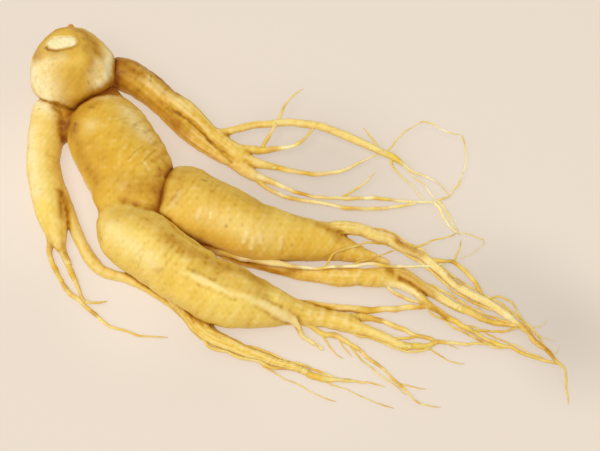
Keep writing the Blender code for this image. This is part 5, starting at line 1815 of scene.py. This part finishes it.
# Thin strands beside the thick roots: the root, the first and last row, the side and half width
LEG_STRANDS: tuple[Route, ...] = tuple(
    side_strand(*row) for row in (
        (RIGHT_LEG_ROOTLETS[0], 7, 15, 1.3, 0.8), (RIGHT_LEG_ROOTLETS[0], 9, 20, -1.35, 0.7),
        (RIGHT_LEG_ROOTLETS[0], 4, 11, -1.25, 0.75), (MIDDLE_ROOTLETS[1], 4, 12, 1.4, 0.7),
        (MIDDLE_ROOTLETS[0], 3, 10, -1.4, 0.75), (MIDDLE_ROOTLETS[1], 7, 15, -1.5, 0.6),
    )
)
BUNDLE_STRANDS: tuple[Route, ...] = tuple(
    side_strand(*row) for row in (
        (LOWER_BUNDLE[0], 2, 9, 1.15, 0.9), (LOWER_BUNDLE[0], 4, 13, -1.2, 0.75),
        (FRONT_LEG_ROOTLETS[1], 3, 11, 1.1, 0.75),
    )
)


@dataclass
class CrownSkin(GrownSkin):
    """The crown knob's skin, which starts as a ball of six square grids."""

    steps: int = 84

    def start(self) -> tuple[Array, Array, Array]:
        """Makes the ball: each side of a cube is a grid, and its points are scaled to the radius.

        Returns:
            The points, the corners of the faces and the pairs of points that share an edge.
        """
        crown = self.forms[0]
        turn = np.tan(np.linspace(-math.pi / 4, math.pi / 4, self.steps + 1))
        u, v = np.meshgrid(turn, turn, indexing="ij")
        one = np.ones_like(u)
        sides = ((u, v, one), (v, u, -one), (one, u, v), (-one, v, u), (v, one, u), (u, -one, v))
        cloud = np.concatenate([np.stack(side, -1).reshape(-1, 3) for side in sides])
        cloud = np.round(unit(cloud) * crown.radius, 6)
        points, first = np.unique(cloud, axis=0, return_inverse=True)
        n = self.steps + 1
        i, j = np.meshgrid(np.arange(self.steps), np.arange(self.steps), indexing="ij")
        quad = np.stack([i * n + j, (i + 1) * n + j, (i + 1) * n + j + 1, i * n + j + 1], -1)
        corners = np.concatenate([quad.reshape(-1, 4) + k * n * n for k in range(len(sides))])
        corners = first.ravel()[corners].astype(np.int32)
        edges = np.concatenate([corners[:, [0, 1]], corners[:, [1, 2]]])
        edges = np.unique(np.sort(edges, axis=1), axis=0)
        return points + np.array(crown.centre), corners, edges


# How many of the trunk's first forms are the body and front leg, how many meet the crown knob, and
# how many of the leg's meet the trunk
BODY_FORMS = 4
NECK_FORMS = 7
HIP_FORMS = 2


@dataclass
class Ginseng:
    """The whole root: three grown skins and the sprays of rootlets and hairs."""

    painter: SkinPainter
    pieces: list[bpy.types.Object] = field(default_factory=list)

    def trunk_forms(self) -> list[Form]:
        """Lists the forms of the trunk: body, front leg, arms and the thick roots that leave it.

        Returns:
            The forms: torso, hip, flank, front leg, left arm and shoulder, right arm and its
            two strands, the ridge, and the roots.
        """
        front_blend = Blend(1.1, soft_at=(-82, 2, 9), soft_reach=4.0, soft_width=8.0)
        forms = [
            Form(TORSO, height=0.87, rings=6, lumps=0.022, tan=0.95, seed=3, ripple=0.05),
            Form(HIP, height=0.95, blend=Blend(3.5), tan=0.85, seed=4),
            Form(
                FLANK, blend=Blend(3.0), rings=7, ring_depth=0.17, tan=0.85, seed=5, ripple=0.06,
                ripple_side=2.0,
            ),
            Form(
                FRONT_LEG, height=1.03, blend=front_blend, rings=5, lumps=0.035, fibres=0.03, tan=0.35,
                seed=7, ripple=0.03, ripple_side=1.2,
            ),
            Form(LEFT_ARM, blend=Blend(2.6), rings=5, ring_depth=0.06, fibres=0.04, tan=0.3, seed=9),
            Form(LEFT_SHOULDER, blend=Blend(3.0), tan=0.5, seed=10),
            Form(
                RIGHT_ARM, blend=Blend(1.6), rings=5, ring_depth=0.10, lumps=0.04, fibres=0.13, tan=1.0,
                seed=12,
            ),
            Form(
                RIGHT_ARM_UPPER_STRAND, blend=Blend(0.8), rings=3, ring_depth=0.06, lumps=0.05,
                fibres=0.12, tan=0.7, seed=13,
            ),
            Form(
                RIGHT_ARM_LOWER_STRAND, blend=Blend(0.5), rings=3, ring_depth=0.06, lumps=0.05,
                fibres=0.12, tan=1.0, seed=14,
            ),
            Form(
                RIDGE, blend=Blend(1.6), lumps=0.13, fibres=0.03, tan=0.4, pale=0.34, seed=15, fade=22.0,
                crease=0.45,
            ),
        ]
        roots = LEFT_ARM_ROOTLETS + RIGHT_ARM_ROOTLETS + FRONT_LEG_ROOTLETS
        forms += self.root_forms(roots, 100, blend=Blend(2.0), fibres=0.05, tan=0.4)
        forms += self.root_forms(LOWER_BUNDLE, 150, blend=Blend(1.6), lumps=0.04, fibres=0.22, tan=0.5)
        return forms

    def leg_forms(self) -> list[Form]:
        """Lists the forms of the right leg and of the roots that leave it.

        Returns:
            The forms: right leg, its corner, the dark web that stands for the shadow in the fork, middle
                root and roots.
        """
        forms = [
            Form(
                RIGHT_LEG, rings=8, ring_depth=0.035, lumps=0.02, fibres=0.02, tan=0.66, seed=21,
                ripple=0.02, ripple_side=0.9,
            ),
            Form(LEG_CORNER, blend=Blend(4.5), tan=0.6, seed=23),
            Form(FORK_SHADE_WEB, blend=Blend(2.0), tan=1.0, seed=24),
            Form(
                MIDDLE_ROOT, blend=Blend(1.0), rings=5, ring_depth=0.08, lumps=0.09, fibres=0.04,
                tan=0.62, seed=22,
            ),
        ]
        return forms + self.root_forms(
            RIGHT_LEG_ROOTLETS + MIDDLE_ROOTLETS, 200, blend=Blend(1.6), lumps=0.05, fibres=0.1,
            tan=0.45, pale=0.35, fade=50.0,
        )

    @staticmethod
    def root_forms(routes: tuple[Route, ...], seed: int, **look: object) -> list[Form]:
        """Makes a form of each route's thick stretch, with seeds that count up."""
        return [
            Form(stretch, rings=1, seed=seed + k, **look)
            for k, stretch in enumerate(thick_stretches(routes))
        ]

    def build(self) -> None:
        """Builds the skins, then the sprays, and dresses each."""
        trunk, leg, crown = self.trunk_forms(), self.leg_forms(), CrownForm()
        skins = (
            GrownSkin("trunk_skin", trunk, leg[:HIP_FORMS] + [crown], voxel=0.62),
            GrownSkin("right_leg_skin", leg, trunk[:BODY_FORMS], voxel=0.55),
            CrownSkin("crown_skin", [crown], trunk[:NECK_FORMS]),
        )
        sprays = (
            RootletSpray("left_arm_rootlets", LEFT_ARM_ROOTLETS, 51, tan=0.35, bends=0.6),
            RootletSpray(
                "right_arm_rootlets", RIGHT_ARM_ROOTLETS, 52, tan=0.35, pale=1.1, bends=0.45,
                tip_brown=0.1, brown_most=0.25,
            ),
            RootletSpray(
                "right_leg_rootlets", RIGHT_LEG_ROOTLETS + LEG_STRANDS, 53, pale=0.35, tip_brown=0.15
            ),
            RootletSpray("middle_rootlets", MIDDLE_ROOTLETS, 54, pale=0.35),
            RootletSpray("fork_rootlet", (FORK_ROOTLET,), 55, tan=0.1, pale=1.8, bends=0.6),
            RootletSpray("front_leg_rootlets", FRONT_LEG_ROOTLETS, 56, tan=0.35),
            RootletSpray("lower_bundle_rootlets", LOWER_BUNDLE + BUNDLE_STRANDS, 57, tan=0.35),
            RootletSpray("ridge_rootlet", (RIDGE_ROOTLET,), 58, tan=0.3),
            RootletSpray("fine_hairs", HAIRS, 59, tan=0.1, pale=1.0, thin=0.1),
        )
        for group in (*skins, *sprays):
            self.adopt(group.build())
        bud = RootletSpray("crown_bud", (BUD,), 60, tan=0.9, pale=0.0, thin=0.0, bends=0.0)
        self.adopt(bud.build(), RootFinish(brown=(0.62, 0.17, 0.03), ochre=(0.66, 0.24, 0.03)))

    def adopt(self, piece: bpy.types.Object, finish: RootFinish = RootFinish()) -> None:
        """Dresses a piece and puts it on the root's body in place of the solid.

        Args:
            piece: The piece.
            finish: Its colours and gloss.
        """
        material = self.painter.material(piece.name + "_finish", finish)
        piece.data.materials.append(material)
        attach(piece, BODY)
        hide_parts(NODE)
        self.pieces.append(piece)
        LOG.info("%s: %d faces", piece.name, len(piece.data.polygons))


class FloorPatch(NamedTuple):
    """A soft round patch of light, or of shade where the share is negative; in millimetres."""

    x: float
    y: float
    reach: float
    share: float


class Lamp(NamedTuple):
    """A square soft light: its place and size in metres, its power in watts and its tint."""

    name: str
    place: Point
    size: float
    power: float
    tint: Rgb


@dataclass
class Studio:
    """The pale lit floor, the soft lights and the camera at the photo's angle, in metres."""

    floor_half: float = 1.6
    floor_drop: float = 0.0001
    floor_colour: Rgb = (0.30, 0.256, 0.211)
    floor_roughness: float = 0.85
    floor_gloss: float = 0.2
    # The floor's glow is painted light: it shines by itself and fills in the root's shadows on it
    painted_glow_colour: Rgb = (0.985, 0.868, 0.745)
    painted_glow: float = 0.525
    # Painted light and shade: patches that brighten or darken the floor's colour and glow
    patches: tuple[FloorPatch, ...] = (
        FloorPatch(-93, 20, 74, 0.13), FloorPatch(-59, -35, 42, 0.09), FloorPatch(10, -62, 40, 0.03),
        FloorPatch(9, 18, 62, -0.14), FloorPatch(61, -24, 45, -0.1), FloorPatch(93, -33, 38, -0.12),
        FloorPatch(113, -53, 36, -0.15),
    )
    room_colour: Rgb = (1.0, 0.98, 0.95)
    room_strength: float = 0.48
    lamps: tuple[Lamp, ...] = (
        Lamp("overhead", (-0.45, -0.95, 2.10), 1.5, 32.0, (1.0, 0.98, 0.95)),
        Lamp("side", (-2.10, 0.25, 0.95), 1.0, 8.0, (1.0, 0.98, 0.94)),
        Lamp("fill", (1.70, 0.55, 1.30), 1.2, 5.0, (1.0, 0.97, 0.92)),
    )
    target: Point = (0.005, -0.001, 0.0)
    distance: float = 0.6
    elevation: float = 60.0
    lens: float = 90.0
    near_clip: float = 0.01

    def build(self) -> None:
        """Builds the floor, the world, the lights and the camera."""
        self.floor()
        self.world()
        for lamp in self.lamps:
            self.light(lamp)
        self.camera()
        bpy.context.scene.view_settings.view_transform = "Standard"

    def floor(self) -> None:
        """Lays the floor just under the root."""
        h, low = self.floor_half, -self.floor_drop
        mesh = bpy.data.meshes.new("floor")
        mesh.from_pydata([(-h, -h, low), (h, -h, low), (h, h, low), (-h, h, low)], [], [(0, 1, 2, 3)])
        material, g, shader = new_material("pale floor")
        level = self.level(g)
        paint = g.node("ShaderNodeVectorMath", operation="SCALE")
        g.wire(paint, {0: self.floor_colour, "Scale": level})
        # The floor's colour and glow carry the painted patches of light and shade, and the glow is painted
        # light
        g.wire(shader, {
            "Base Color": paint.outputs[0],
            "Roughness": self.floor_roughness,
            "Specular IOR Level": self.floor_gloss,
            "Emission Color": colour(self.painted_glow_colour),
            "Emission Strength": g.math("MULTIPLY", level, self.painted_glow),
        })
        mesh.materials.append(material)
        floor = placed("floor", mesh)

    def level(self, g: Graph) -> Socket:
        """Adds the patches up: the floor is one where there is none, and each fades to its rim.

        Args:
            g: The graph of the floor's material.

        Returns:
            The floor's brightness as a share.
        """
        place = g.node("ShaderNodeTexCoord").outputs["Object"]
        total = g.node("ShaderNodeValue").outputs[0]
        total.default_value = 1.0
        for patch in self.patches:
            away = g.node("ShaderNodeVectorMath", operation="DISTANCE")
            g.wire(away, {0: place, 1: (patch.x * MM, patch.y * MM, 0.0)})
            fade = g.band(
                away.outputs["Value"], 0.0, patch.reach * MM, patch.share, 0.0,
                interpolation_type="SMOOTHSTEP",
            )
            total = g.math("ADD", total, fade)
        return total

    def world(self) -> None:
        """Fills the room with a weak warm light."""
        world = bpy.data.worlds.new("room")
        world.use_nodes = True
        back = world.node_tree.nodes["Background"]
        back.inputs["Color"].default_value = colour(self.room_colour)
        back.inputs["Strength"].default_value = self.room_strength
        bpy.context.scene.world = world

    def light(self, lamp: Lamp) -> None:
        """Hangs a square light that faces the root.

        Args:
            lamp: The light.
        """
        made = bpy.data.lights.new(lamp.name, "AREA")
        made.size = lamp.size
        made.energy = lamp.power
        made.color = lamp.tint
        holder = placed(lamp.name, made)
        holder.location = lamp.place
        x, y, z = np.array(lamp.place) - np.array(self.target)
        holder.rotation_euler = (math.atan2(math.hypot(x, y), z), 0, math.atan2(y, x) + math.pi / 2)

    def camera(self) -> None:
        """Looks along +Y, down on the root."""
        lens = bpy.data.cameras.new("camera")
        lens.lens = self.lens
        lens.clip_start = self.near_clip
        camera = placed("camera", lens)
        rise = math.radians(self.elevation)
        x, y, z = self.target
        camera.location = (x, y - self.distance * math.cos(rise), z + self.distance * math.sin(rise))
        camera.rotation_euler = (math.pi / 2 - rise, 0, 0)
        bpy.context.scene.camera = camera


def main() -> None:
    """Builds the studio and the root, and logs how many nodes and pieces there are."""
    logging.basicConfig(level=logging.INFO, format="%(name)s %(message)s")
    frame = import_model()
    LOG.info("%d node in the frame", len(frame["nodes"]))
    Studio().build()
    root = Ginseng(SkinPainter(Mottling().build(), Wrinkles().build()))
    root.build()
    LOG.info("%d pieces", len(root.pieces))


if __name__ == "__main__":
    main()
